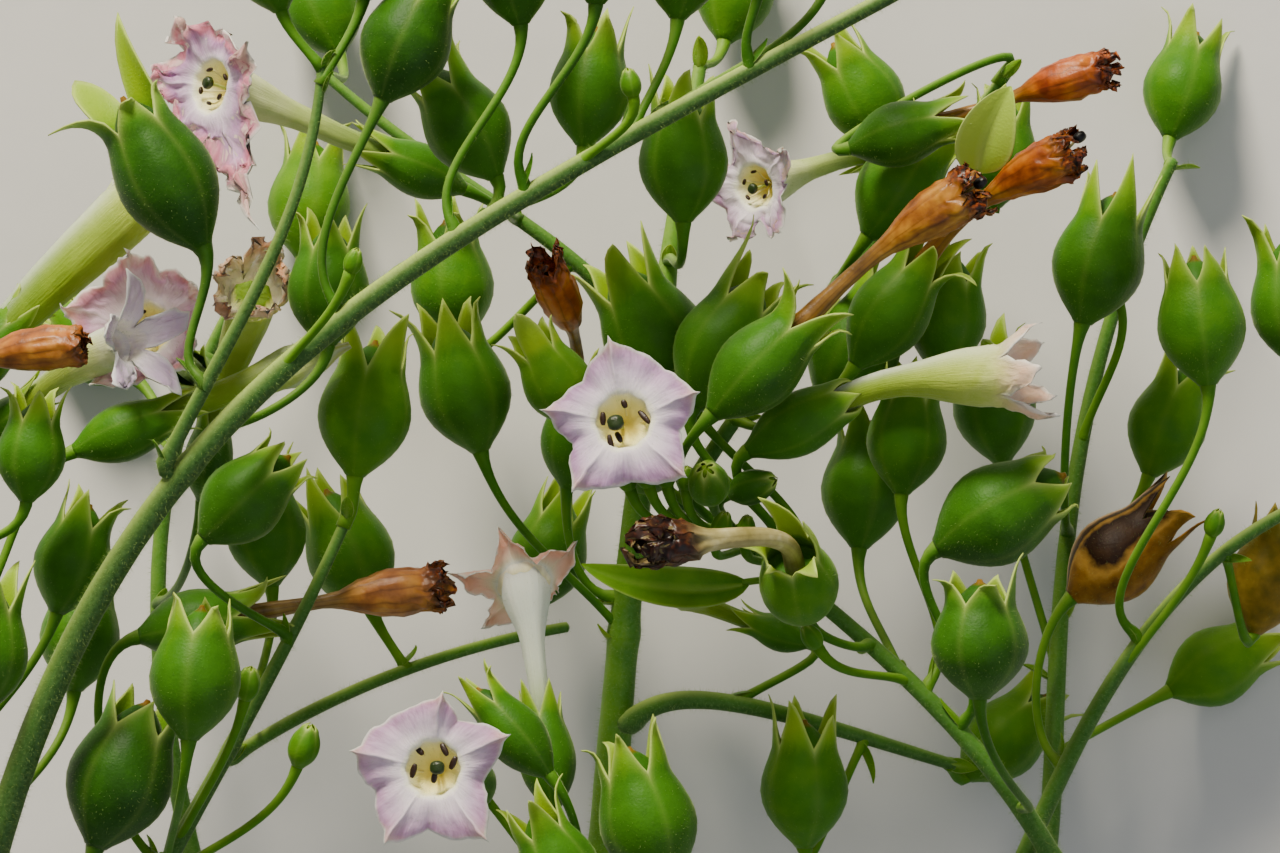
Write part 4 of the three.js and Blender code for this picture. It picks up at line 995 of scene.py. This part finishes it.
# Stamens and stigma
# Five pale filaments stand in the throat of each open flower, each with a dark brown anther that
# splits along its length, round a style with a dark green knob at its end.
# For each anther: millimetres right and up from the throat's middle, its length and its slope
ANTHERS = {
    "flower_facing": [(-3.1, 1.2, 2.0, 78), (0.8, 2.6, 1.3, 100), (3.4, -0.1, 2.6, -62),
                      (-2.8, -3.2, 2.9, 86), (-1.3, -2.3, 1.8, -75)],
    "flower_low_facing": [(-2.3, 2.9, 1.5, -45), (1.8, 3.1, 2.1, -62), (3.2, 1.0, 2.1, 65),
                          (-3.2, -0.3, 2.2, 74), (0.2, -1.4, 1.6, 80)],
}
# The knob of the style: millimetres right and up from the throat's middle, and its radius
KNOBS = {"flower_facing": (-1.2, -0.2, 1.35), "flower_low_facing": (0.8, 0.15, 1.2)}
FILAMENT_MM, STYLE_MM = 0.17, 0.3


def spindle(middle, long_way, wide_way, sizes, cols=12, rows=9):
    """An egg-shaped skin with a groove along two of its sides; sizes are its half-length and radii."""
    long_way, wide_way = unit(long_way), unit(wide_way - long_way * (unit(long_way) @ wide_way))
    high_way = np.cross(long_way, wide_way)
    turn = round_angles(cols)
    lean = np.linspace(0, np.pi, rows + 2)[1:-1, None]
    groove = 1 - 0.16 * np.cos(2 * turn) ** 8
    along = -np.cos(lean) * sizes[0] * np.ones(cols)
    wide = np.sin(lean) ** 0.7 * sizes[1] * np.cos(turn) * groove
    high = np.sin(lean) ** 0.7 * sizes[2] * np.sin(turn) * groove
    return middle + along[..., None] * long_way + wide[..., None] * wide_way + high[..., None] * high_way


def thread(points, radius, cols=6):
    """A thin round thread through a few points, as rows of points."""
    line = framed(traced([points], 10))
    run, angle = np.broadcast_arrays(line["run"][:, None], round_angles(cols))
    return wrapped(line, run, np.full(run.shape, radius), angle)


def stamen_skins(spec, rng):
    """The stamens, the style and the stigma of an open flower; `part` tells their colours apart."""
    line, size = spec["line"], spec["size"]
    heads = ANTHERS.get(spec["name"])
    stout = 0.56 if heads else 0.36
    if heads is None:
        turns = np.radians(72 * np.arange(5) + rng.uniform(-12, 12, 5))
        long = 1.2 if spec["name"] in LIMP else 2.2
        heads = [(3 * np.cos(t), 3 * np.sin(t), long, np.degrees(t) + 90) for t in turns]
    knob = KNOBS.get(spec["name"], (0.3, 0.2, 1.1))
    face = np.full(3, placing(spec)(LIMB_AT))
    axes = wrapped(line, face, np.array([0.0, 1.0, 1.0]), np.array([0.0, 0.0, np.pi / 2]))
    middle, up, left = axes[0], axes[1] - axes[0], axes[2] - axes[0]
    roll = np.radians(spec["roll"])
    right = -(left * np.cos(roll) - up * np.sin(roll)) * size
    above = (up * np.cos(roll) + left * np.sin(roll)) * size
    forward = -np.cross(up, left)
    forward = forward * np.sign(forward @ line["way"][-1]) * size
    deep = 5.0 if "end" in spec else 9.0
    root = middle - deep * forward
    skins = []
    for x, y, length, slope in heads:
        top = middle + right * x + above * y + forward * rng.uniform(-0.9, 0.2)
        slope = np.radians(slope)
        lying = right * np.cos(slope) + above * np.sin(slope) + forward * 0.15
        facing = right * -np.sin(slope) + above * np.cos(slope)
        egg = spindle(top, lying, facing, (1.12 * length * size / 2, stout * size, 0.42 * size))
        skins.append(closed_skin(egg, part=0.0))
        neck = top - forward * 0.4
        base = root + (right * x + above * y) * 0.25
        bend = base + forward * deep * 0.55 + (right * x + above * y) * 0.25
        filament = thread([base, bend, neck - forward * 2, neck], FILAMENT_MM * size)
        skins.append(closed_skin(filament, part=0.5))
    top = middle + right * knob[0] + above * knob[1] + forward * 0.9
    ball = spindle(top, right, above, (knob[2] * size, knob[2] * size, 0.9 * size), 20, 13)
    skins.append(closed_skin(ball, part=1.0))
    bends = [root, root + forward * deep / 3, top - forward * deep * 0.45, top]
    style = thread(bends, STYLE_MM * size, 8)
    skins.append(closed_skin(style, part=0.75))
    return skins


def stamen_paint(tree):
    """Dark brown anthers with a paler split, cream filaments and a damp dark green stigma."""
    grain = noise(tree, 0.2857, 2.0)
    base = ramp(tree, "part", [(0.0, "#1c0b04"), (0.2, "#2e1608"), (0.45, "#e8dba0"), (0.6, "#dfe0a0"),
                             (0.8, "#8fa83c"), (0.95, "#0f3a06"), (1.0, "#0c3004")])
    base = mixed(tree, maths(tree, "MULTIPLY", grain, 0.12), base, "#7a5428")
    surface(base, grain, 0.00008, Roughness=0.35, IOR=1.45)


anther = painted("anther and stigma", stamen_paint)
add_bloom_parts("flower", "stamens", stamen_skins, anther)


# Flowers going over
# In these the limb has folded forwards and closed: the tube is swollen and pale green to cream,
# and its lobes are limp narrow points with their edges rolled in.
# For each: the lobes' length and breadth, how they lean and curl, how peach they are, how wide the
# tube is and how far along it stays green
WILTED = {
    "flower_side_view": (8.2, 1.1, (-4, 40), (-35, 45), 1.0, 1.0, 0.74),
    "flower_left_tube": (8.0, 0.85, (0, 30), (0, 60), 0.2, 1.0, 0.55),
    "flower_lilac_left": (10.5, 1.3, (42, 74), (-15, 40), 0.0, 0.95, 1.0),
    "flower_wilted_cream": (6.0, 1.25, (40, 75), (-230, -150), 1.35, 1.0, 0.7),
}
# Columns to a lobe, and rows below and up the lobes
WILTED_GRID = (12, (18, 14))
# A tube's radii by length from the calyx's foot, and those of the tubes that are shaped otherwise
TRUMPET = [(11, 2.1), (15, 2.5), (19, 2.65), (23, 2.8), (26, 3.3), (28, 3.9), (31, 4.4), (35, 4.7),
           (39.5, 4.7), (41, 4.5)]
TRUMPETS = {
    "flower_side_view": [(11, 1.9), (19, 2.0), (24, 2.2), (27.5, 2.6), (30, 3.2), (32.5, 3.9), (35.5, 4.4),
                         (39.5, 4.6), (41, 4.5)],
    "flower_wilted_cream": [(11, 2.1), (19, 2.65), (26, 3.2), (33, 4.2), (37, 4.8), (39.5, 6.2), (41, 6.8)],
    "flower_left_tube": [(11, 2.6), (17, 3.4), (24, 4.0), (30, 4.5), (36, 4.9), (39.5, 4.9), (41, 4.6)],
}


def wilting_skins(spec, rng):
    """A corolla that is going over, with its lobes limp and, once browned, rolled in."""
    line, size, place = spec["line"], spec["size"], placing(spec)
    lobe, broad, lean, curl, peach, wide, green = WILTED[spec["name"]]
    outline = TRUMPETS.get(spec["name"], TRUMPET)
    outline = [(along, radius * (1 + (wide - 1) * (along > 24))) for along, radius in outline]
    teeth = uneven_teeth(rng, lobe, lean, curl, 16)
    teeth["width"] = broad * rng.uniform(0.9, 1.1, 5)
    browned = peach > 1
    inner = [(38.8, 3.2), (38.5, 2.2), (38.3, 1.0)] if browned else [(37.5, 3.0), (36, 2.2), (34, 1.0)]
    grid, where = toothed(line, place, size, outline, 39.5, teeth, inner, *WILTED_GRID,
                          power=0.95, thin=0.3, keel=0.25, margin=3.0)
    length, lift, inside, angle = (where[key] for key in ("length", "lift", "inside", "angle"))
    loose = held((length - 36) / 8)
    fold_size, fold_depth = (3.4, 1.2) if browned else (5.0, 0.6)
    grid = grid + (0.1 + loose[..., None]) * crumple(grid, fold_size, fold_depth, rng)
    sunny = held(sunny_side(line, place(length), angle)) ** 7 * (inside == 0)
    zone = green * np.interp(length, [14, 24, 32, 40], [0.12, 0.3, 0.46, 0.62]) + 0.32 * lift
    zone = np.where(inside > 0, 0.4 + 0.5 * lift, zone)
    pale = 0.25 * np.exp(-((where["phi"] / 0.12) ** 2)) * lift + 0.7 * where["rim"] * (lift > 0.05)
    warmth = peach * np.clip((length - 38) / 5, 0.05, 1)
    outside = (inside == 0).astype(float)
    if browned:
        warmth = np.where(inside == 2, 0.0, warmth + 0.4 * where["rim"] + 0.25 * (inside == 1))
        zone, outside = np.where(inside == 2, 0.08, zone), np.where(inside == 2, 1.0, outside)
    # Painted light: the tube's side towards the light is painted paler
    pale = pale * (not browned) + 0.7 * sunny * (1 - loose)
    return [closed_skin(grid, zone=zone, outside=outside, fold=held(pale), around_x=np.cos(angle),
                        around_y=np.sin(angle), reach=length / 8, peach=warmth)]


add_bloom_parts("wilting", "corolla", wilting_skins, petal)


# Withered flowers
# The corolla has dried on: a brown thread of a tube, a shrunken orange-brown body with dark veins,
# and a crumpled, nearly black mouth out of which an anther may still stick.
WITHERED_GRID = (12, (26, 12))
# For those that differ: the length and spread of the crumpled mouth
MOUTHS = {"withered_bent": (6.0, 1.1), "withered_left": (2.6, 0.9), "withered_long": (3.2, 1.1)}
# The flowers that still hold a black anther, and the radii of their funnel-like bodies by length
WITH_ANTHER = ("withered_long", "withered_upper")
FUNNEL = [(28, 1.05), (31.5, 1.15), (34, 1.7), (36, 2.35), (39.5, 3.2), (43, 3.5), (46, 3.4)]
# How rusty and how faded some are
RUSTY = {"withered_orange": 0.8, "withered_upper": 0.45, "withered_high": 0.7, "withered_back": 0.4,
         "withered_left": 0.3}
FADED = {"withered_bent": 0.85, "withered_left": 0.1, "withered_back": 0.15, "withered_long": 0.05}


def withered_skins(spec, rng):
    """A dry corolla, and the anther with its thread in those that hold one."""
    name, line, size, place = spec["name"], spec["line"], spec["size"], placing(spec)
    ragged, wide = MOUTHS.get(name, (3.0, 1.0))
    bunched = name == "withered_bent"
    on = 1.2 if name in WITH_ANTHER else 0.0
    outline = [(11, 1.5), (15, 1.65), (19, 1.4), (24, 1.1)]
    if on:
        outline += FUNNEL
    else:
        outline += [(28, 1.05), (30.5, 1.4), (33, 2.6), (36.5, 3.6), (40, 3.75), (42.5, 3.4),
                    (44.5, 3.1 * wide)]
    lean, curl, dark_from = (-25, 45), (-80, 40), 42 + on
    if name == "withered_left":
        lean, curl = (-80, -50), (-30, 10)
    if bunched:
        on = 2.5
        outline = [(11, 1.7), (17, 1.5), (24, 1.45), (34, 1.6), (37.5, 1.9), (39, 2.6), (40.5, 3.3),
                   (43, 3.5), (47, 3.2)]
        lean, curl, dark_from = (0, 35), (-200, -110), 37.5
    teeth = uneven_teeth(rng, ragged, lean, curl, 25)
    inner = [(41.5 + on, 2.2), (40 + on, 1.4), (39 + on, 0.7)]
    grid, where = toothed(line, place, size, outline, 43.5 + on, teeth, inner, *WITHERED_GRID,
                          power=0.55, thin=0.3, keel=0.25, margin=3.0)
    length, inside, angle = (where[key] for key in ("length", "inside", "angle"))
    body = held((length - (37 if bunched else 29 + on)) / 5)
    end = held((length - dark_from) / 2.5)
    amount = 0.08 + 0.3 * body + 0.8 * end
    grid = grid + amount[..., None] * crumple(grid, 4.2, 0.75, rng)
    grid = grid + end[..., None] * crumple(grid, 1.9, 0.2 if bunched else 0.5, rng)
    veins = 0.5 + 0.5 * np.cos(11 * angle + 0.12 * length)
    char = held((length - dark_from - 0.3) / 2.4) * (1 - 0.35 * (inside > 0))
    sunny = held(sunny_side(line, place(length), angle))
    # Painted light: besides each flower's own rust, the side towards the light is painted rustier orange
    rust = held(RUSTY.get(name, 0.0) + 0.35 * sunny)
    skins = [closed_skin(grid, char=char, vein=veins, thin=1 - body, faded=FADED.get(name, 0.0), rust=rust)]
    if name not in WITH_ANTHER:
        return skins
    tip = wrapped(line, np.full(2, place(45.0 + on)), np.array([1.8, 0.2]) * size, np.array([0.4, 0.4]))
    out = line["way"][-1]
    head = tip[0] + out * 1.6 * size
    lying = out + 0.3 * line["side"][-1]
    egg = spindle(head, lying, line["across"][-1], (size, 0.85 * size, 0.75 * size))
    skins.append(closed_skin(egg, char=1.4, vein=0.0, thin=0.0, faded=-1.0, rust=0.0))
    stalk = thread([tip[1] - out * 4, tip[1] - out, head - out * 0.8, head], 0.2 * size)
    skins.append(closed_skin(stalk, char=0.2, vein=0.0, thin=0.0, faded=1.0, rust=0.0))
    return skins


def dry_paint(tree):
    """Dry petal, thin as paper: golden brown with darker veins, rusty and charred at the mouth."""
    patches = noise(tree, 4.167, 3.0)
    fine = noise(tree, 0.9091, 3.0)
    body = ramp(tree, patches, [(0.28, "#623004"), (0.44, "#8e5406"), (0.6, "#b27a0c"), (0.8, "#cc9a28")])
    tube = ramp(tree, patches, [(0.3, "#5a3a0a"), (0.55, "#8a5f14"), (0.8, "#b08a38")])
    pale = ramp(tree, patches, [(0.3, "#8a8244"), (0.6, "#b8b074"), (0.8, "#e0dcb0")])
    rusty = ramp(tree, patches, [(0.3, "#7a2c04"), (0.5, "#b4520a"), (0.75, "#d88020")])
    # This mark holds each flower's own rust and painted light on its lit side
    body = mixed(tree, "rust", body, rusty)
    base = mixed(tree, "thin", body, tube)
    base = mixed(tree, maths(tree, "MAXIMUM", "faded", 0.0), base, pale)
    fresh = maths(tree, "MULTIPLY_ADD", "faded", -0.45, 0.6)
    streak = maths(tree, "MULTIPLY", maths(tree, "POWER", "vein", 6.0), fresh)
    base = mixed(tree, streak, base, "#4a2004")
    dark = ramp(tree, fine, [(0.34, "#120805"), (0.48, "#46200e"), (0.6, "#8a3c10"), (0.75, "#c07830")])
    clods = ramp(tree, patches, [(0.36, "#120805"), (0.5, "#2e160b"), (0.64, "#4e3218"), (0.8, "#8a6c30")])
    dark = mixed(tree, maths(tree, "MAXIMUM", "faded", 0.0), dark, clods)
    base = mixed(tree, maths(tree, "MINIMUM", "char", 1.0), base, dark)
    base = mixed(tree, maths(tree, "GREATER_THAN", "char", 1.2), base, "#060505")
    relief = maths(tree, "ADD", patches, maths(tree, "MULTIPLY", fine, 0.6))
    surface(base, relief, 0.00012, Roughness=0.38, IOR=1.4)


dried = painted("withered petal", dry_paint)
add_bloom_parts("withered", "corolla", withered_skins, dried)


# Long buds
# The corolla is still closed: a pale green spindle with five pleats that twist to its tip. Its radii
# are by length from the calyx's foot.
SPINDLE = [(11, 1.9), (16, 2.1), (22, 2.1), (28, 2.3), (33, 2.9), (37, 3.6), (40, 3.5), (43, 2.4),
           (45, 1.4), (47, 0.6)]
BUD_ROWS, BUD_COLS = 34, 40


def bud_skins(spec, rng):
    """A shut corolla, pleated and twisted towards its tip."""
    length, cols = np.linspace(11, 47.6, BUD_ROWS), BUD_COLS
    angle = round_angles(cols)
    twist = 0.12 * np.maximum(0, length[:, None] - 30)
    pleat = 0.5 + 0.5 * np.cos(5 * (angle + twist))
    open_share = held((length[:, None] - 28) / 10)
    radius = rounded(SPINDLE, length)[:, None] * (1 - 0.22 * open_share * (1 - pleat) ** 2) * spec["size"]
    run, around = np.broadcast_arrays(placing(spec)(length)[:, None], angle)
    grid = wrapped(spec["line"], run, radius, around)
    grid = grid + open_share[..., None] * crumple(grid, 6.0, 0.2, rng)
    zone = np.interp(length, [14, 30, 40, 47], [0.0, 0.25, 0.45, 0.3])[:, None] * np.ones(cols)
    peach = 0.5 * held((length - 42) / 4)[:, None] * np.ones(cols)
    return [closed_skin(grid, zone=zone, outside=1.0, fold=0.4 * (1 - pleat) * open_share,
                        around_x=np.cos(angle), around_y=np.sin(angle), reach=run / 40, peach=peach)]


add_bloom_parts("long_bud", "corolla", bud_skins, petal)


# Bracts
# A small narrow leaf sits under each flower stalk and each fork, keeled along its middle and bent
# back; three are larger, one of them already yellow.
# For each large bract: its stem, the share of it, where its blade begins, its tip, its width, the
# way it bows and its tone
LARGE_BRACTS = {
    "long_bract": ("centre_bough", 0.84, [17.5, -25.5, 58], [-9.5, -22.3, 62], 6.6, [0, -3, 3], 0.5),
    "yellow_bract": ("top_right", 0.88, [54.4, 41.0, 66], [59.8, 54.8, 72], 9.0, [-1, 0, 2], 1.3),
    "left_bract": ("left_outer", 0.45, [-113, -18, 74], [-112, -8, 66], 6.0, [-2, 0, 4], 0.6),
}
LEAF_COLS, LEAF_ROWS, LEAF_STALK_MM = 20, 18, 0.6
SMALL_LEAF_COLS, SMALL_LEAF_ROWS = 12, 8


def leaf_skin(points, width, face, tone, cols=LEAF_COLS, rows=LEAF_ROWS):
    """A lance-shaped leaf along a curve, its upper side towards `face`, folded along its middle."""
    line = traced([points], rows)
    side = unit(np.cross(face, line["way"]))
    normal = np.cross(line["way"], side)
    share = (line["run"] / line["run"][-1])[:, None]
    half = width / 2 * (4 * np.clip(share, 0.004, 0.996) * (1 - np.clip(share, 0.004, 0.996))) ** 0.75
    half = half * (1.25 - 0.5 * share) + 0.25 * (1 - share)
    angle = round_angles(cols)
    x, z = np.cos(angle), np.sin(angle)
    lift = 0.42 * half * np.abs(x) ** 1.2 + 0.13 * z * (1 - 0.8 * np.abs(x))
    lift = lift - 0.12 * half * (np.abs(x) < 0.1)
    grid = line["at"][:, None] + (half * x)[..., None] * side[:, None] + lift[..., None] * normal[:, None]
    margin = np.clip(np.abs(x) - 0.9, 0, 0.1) * 10
    rib = np.exp(-((x / 0.12) ** 2)) * (1 - share)
    pale = 0.5 * margin + 0.4 * rib + max(0.0, tone - 1.0)
    return closed_skin(grid, tone=tone + 0.25 * share * np.ones(cols), pale=held(pale), dry=0.0, cut=0.0)


def small_bract(stem, share, toward, rng, tone):
    """A bract in the fork between a stem and what leaves it towards a point."""
    at, way = bezier(stem["curve"], share)
    out = unit(toward - at)
    out = unit(out - way * (out @ way)) if share < 1 else unit(np.cross(way, rng.normal(size=3)))
    radius = thickness(stem, share)
    length = rng.uniform(3.5, 7.5)
    start = at - way * 1.5 + out * radius * 0.5
    lean = rng.uniform(0.3, 1.1)
    tip = start + out * (radius + length * lean * 0.7) + way * length * (1 - 0.5 * lean)
    tip = tip + rng.normal(size=3) * 0.8
    points = [start, start + out * radius + way * 0.8, tip - out * length * 0.3 * lean - way * 0.5, tip]
    face, grid = -out + 0.4 * way, (SMALL_LEAF_COLS, SMALL_LEAF_ROWS)
    return leaf_skin(points, rng.uniform(1.6, 2.6), face, tone, *grid)


bract_skins = []
for name, (on, share, foot, tip, width, bow, tone) in LARGE_BRACTS.items():
    start = bezier(stems[on]["curve"], share)[0]
    foot, tip, bow = np.array([foot, tip, bow], float)
    blade = [foot, foot * 0.7 + tip * 0.3 + bow, foot * 0.3 + tip * 0.7 + bow, tip]
    leaf = leaf_skin(blade, width, np.array([0.1, 0.25, 1.0]), tone)
    back = foot - (blade[1] - foot) * 0.4
    bends = [start, start * 0.6 + back * 0.4, back, foot + (tip - foot) * 0.04]
    stalk = closed_skin(thread(bends, LEAF_STALK_MM, 8), tone=tone, pale=0.1, dry=0.0, cut=0.0)
    add_skins(name, [leaf, stalk], calyx_green)
for spec in BLOOMS.values():
    bearer, rng = stems[spec["on"]], dice("bract", spec["number"])
    bract_skins.append(small_bract(bearer, spec["at"], spec["base"], rng, bearer["tone"] + 0.15))
for number, stem in enumerate(stems.values()):
    if stem["on"]:
        bearer, rng = stems[stem["on"]], dice("fork bract", number)
        bract_skins.append(small_bract(bearer, stem["at"], stem["curve"][1], rng, stem["tone"] + 0.15))
add_skins("small_bracts", bract_skins, calyx_green)


# Small green buds
# Besides the large blooms, thin stalks in the forks carry buds a few millimetres across, still shut.
# For each: its stem, the share of it, the foot of the bud, the way it points and its size
SMALL_BUDS = [
    ("centre_bough", 0.93, [12.5, -18.0, 70], [0.3, 0.9, 0.4], 0.5),
    ("centre_bough", 0.88, [17.0, -18.5, 64], [0.1, 0.95, 0.3], 0.45),
    ("centre_bough", 0.97, [1.5, -10.0, 74], [-0.3, 0.9, 0.3], 0.5),
    ("centre_bough", 0.96, [4.5, -10.0, 72], [-0.2, 0.95, 0.3], 0.5),
    ("centre_bough", 0.95, [-1.5, -10.5, 70], [-0.3, 0.9, 0.3], 0.5),
    ("centre_bough", 0.94, [7.5, -10.5, 71], [0.0, 0.9, 0.3], 0.45),
    ("centre_bough", 0.55, [29.0, -36.0, 62], [-0.5, 0.8, 0.3], 0.5),
    ("left_inner", 0.3, [-63.5, -44.0, 80], [0.2, 0.9, 0.3], 0.6),
    ("left_inner", 0.2, [-55.0, -54.5, 78], [0.3, 0.9, 0.3], 0.75),
    ("front_bough", 0.46, [-46.0, 24.0, 108], [0.3, 0.9, 0.2], 0.45),
    ("front_bough", 0.74, [-1.0, 52.0, 104], [-0.2, 0.95, 0.2], 0.5),
    ("right_middle", 0.7, [78.0, 22.0, 34], [-0.5, 0.8, 0.3], 0.5),
    ("right_outer", 0.5, [93.0, -18.0, 48], [0.3, 0.9, 0.3], 0.5),
]
small_bud_skins = []
for number, (*row, size) in enumerate(SMALL_BUDS):
    spec = with_line(spec_of(number, "bud", *row, size=size, fused=True))
    small_bud_skins.append(calyx_skin(spec, dice("small bud", number), 0.55))
    small_bud_skins.append(pedicel_skin({**spec, "size": 0.8}, 0.5))
add_skins("small_buds", small_bud_skins, calyx_green)


# Hairs
# Every green part, and the outside of each tube, is downy with short sticky hairs, which catch the
# light at the rims. They are drawn 0.034 mm thick, thicker and fewer than the real ones.
HAIR_THICK_MM = 0.034


def hair_paint(tree):
    """Clear pale down, a little green."""
    tint = noise(tree, 1.429)
    base = ramp(tree, tint, [(0.3, "#6c9234"), (0.7, "#a4be72")])
    surface(base, tint, 0.00001, **{"Roughness": 0.7, "Specular IOR Level": 0.1})


def hair_nodes(material):
    """A node group that turns a mesh into short tapering hairs that stand on its faces."""
    tree = bpy.data.node_groups.new("plant hairs", "GeometryNodeTree")
    asked = {"Geometry": "Geometry", "Hairs per square metre": "Float", "Length": "Float", "Seed": "Int"}
    for name, kind in asked.items():
        tree.interface.new_socket(name, in_out="INPUT", socket_type=f"NodeSocket{kind}")
    tree.interface.new_socket("Geometry", in_out="OUTPUT", socket_type="NodeSocketGeometry")
    given = add_node(tree, "NodeGroupInput").outputs
    points = add_node(tree, "GeometryNodeDistributePointsOnFaces", {
        "Mesh": given["Geometry"], "Density": given["Hairs per square metre"], "Seed": given["Seed"],
    })
    hair = add_node(tree, "GeometryNodeMeshCone", {
        "Vertices": 3, "Radius Top": 0.0, "Radius Bottom": HAIR_THICK_MM * MM / 2, "Depth": given["Length"],
    }, fill_type="NONE")
    lean = add_node(tree, "FunctionNodeRandomValue", {
        0: (-0.5, -0.5, 0.0), 1: (0.5, 0.5, 6.28), "Seed": given["Seed"],
    }, data_type="FLOAT_VECTOR")
    turned = add_node(tree, "FunctionNodeRotateRotation", {
        "Rotation": points.outputs["Rotation"],
    }, rotation_space="LOCAL")
    tree.links.new(lean.outputs[0], turned.inputs["Rotate By"])
    shares = {2: 0.45, 3: 1.3, "Seed": given["Seed"]}
    size = add_node(tree, "FunctionNodeRandomValue", shares, data_type="FLOAT")
    stood = add_node(tree, "GeometryNodeInstanceOnPoints", {
        "Points": points.outputs["Points"], "Instance": hair.outputs["Mesh"],
        "Rotation": turned.outputs["Rotation"], "Scale": size.outputs[1],
    })
    real = add_node(tree, "GeometryNodeRealizeInstances", {"Geometry": stood.outputs["Instances"]})
    inputs = {"Geometry": real.outputs["Geometry"], "Material": material}
    worn = add_node(tree, "GeometryNodeSetMaterial", inputs)
    add_node(tree, "NodeGroupOutput", {"Geometry": worn.outputs["Geometry"]})
    return tree


down = painted("plant down", hair_paint)
hairs = hair_nodes(down)


def add_hairs(name, pieces, per_mm2, length_mm, seed):
    """Hairs on a group of finished pieces, as one plain mesh."""
    points, faces, start = [], [], 0
    for piece in pieces:
        data = piece.data
        at = np.empty(len(data.vertices) * 3, np.float32)
        data.vertices.foreach_get("co", at)
        points.append(at.reshape(-1, 3))
        faces += [[start + v for v in face.vertices] for face in data.polygons]
        start += len(data.vertices)
    bed = bpy.data.meshes.new("hair bed")
    bed.from_pydata(np.concatenate(points).tolist(), [], faces)
    holder = placed("hair bed", bed)
    modifier = holder.modifiers.new("hairs", "NODES")
    modifier.node_group = hairs
    values = {"Hairs per square metre": per_mm2 * 1e6, "Length": length_mm * MM, "Seed": seed}
    for item in hairs.interface.items_tree:
        if item.in_out == "INPUT" and item.name in values:
            modifier[item.identifier] = values[item.name]
    graph = bpy.context.evaluated_depsgraph_get()
    mesh = bpy.data.meshes.new_from_object(holder.evaluated_get(graph))
    bpy.data.objects.remove(holder)
    bpy.data.meshes.remove(bed)
    at = np.empty(len(mesh.vertices) * 3, np.float32)
    mesh.vertices.foreach_get("co", at)
    # Hairs under a capsule that lies on the floor are pressed flat
    at[2::3] = np.maximum(at[2::3], 0.0)
    mesh.vertices.foreach_set("co", at)
    mesh.materials.clear()
    mesh.name = name
    add_piece(name, mesh, down)


def named(*endings):
    """The pieces whose names end in one of some words."""
    return [piece for piece in bpy.data.objects if piece.name.endswith(endings)]


# For each bed of hairs: how many to the square millimetre, how long in millimetres, and their seed
for number in range(2):
    pieces = named("_shoot", "bracts")[number::2]
    add_hairs(f"stem_down_{number + 1}", pieces, 4.0, 0.85, 21 + number)
for number in range(3):
    pieces = named("_calyx")[number::3]
    add_hairs(f"calyx_down_{number + 1}", pieces, 1.2, 0.4, 2 + number)
add_hairs("small_calyx_down", named("_calyxes"), 0.8, 0.4, 6)
tubed = ("flower", "wilting", "long_bud")
tubes = [f"{name}_corolla" for name, spec in BLOOMS.items() if spec["kind"] in tubed]
add_hairs("tube_down", [bpy.data.objects[name] for name in sorted(tubes)], 0.8, 0.45, 7)


# Floor, light and camera
# A plain pale floor six metres wide, and soft light; the camera looks straight down, as the photograph
# looks at the panicle, with one picture's width on 206 mm of it.
PICTURE_MM, HEIGHT_MM, MIDDLE_MM, SENSOR_MM = 206.45, 2000.0, 70.0, 36.0
floor_mesh = bpy.data.meshes.new("floor")
floor_mesh.from_pydata([(-3, -3, 0), (3, -3, 0), (3, 3, 0), (-3, 3, 0)], [], [(0, 1, 2, 3)])
floor = placed("floor", floor_mesh)


def floor_paint(tree):
    """Pale paint, very nearly even."""
    grain = noise(tree, 16.67)
    surface(ramp(tree, grain, [(0.0, "#d9d8d4"), (1.0, "#e2e1dd")]), grain, 0.0002, Roughness=0.8)


floor_mesh.materials.append(painted("pale floor paint", floor_paint))

# For each lamp: where it is and how wide, in metres, its power and its colour
LAMPS = [
    ("key", (-0.45, 1.5, 0.95), 0.5, 62.0, "#fff4e0"),
    ("fill", (1.1, -0.9, 1.3), 1.6, 6.0, "#eef3ff"),
    ("top", (0.0, 0.2, 2.6), 1.2, 5.0, "#ffffff"),
]
for name, at, width, power, tint in LAMPS:
    light = bpy.data.lights.new(name, "AREA")
    light.size, light.energy, light.color = width, power, colour(tint)[:3]
    lamp = placed(name, light)
    lamp.location = at
    lamp.rotation_mode = "QUATERNION"
    lamp.rotation_quaternion = (-lamp.location).to_track_quat("-Z", "Y")
world = bpy.data.worlds.new("studio")
world.use_nodes = True
sky = world.node_tree.nodes["Background"].inputs
sky["Color"].default_value = colour("#f4f6fa")
sky["Strength"].default_value = 0.25
bpy.context.scene.world = world

camera_data = bpy.data.cameras.new("camera")
camera_data.sensor_width = SENSOR_MM
camera_data.lens = SENSOR_MM * (HEIGHT_MM - MIDDLE_MM) / PICTURE_MM
camera = placed("camera", camera_data)
camera.location = (SHIFT[0] * MM, SHIFT[1] * MM, HEIGHT_MM * MM)
bpy.context.scene.camera = camera
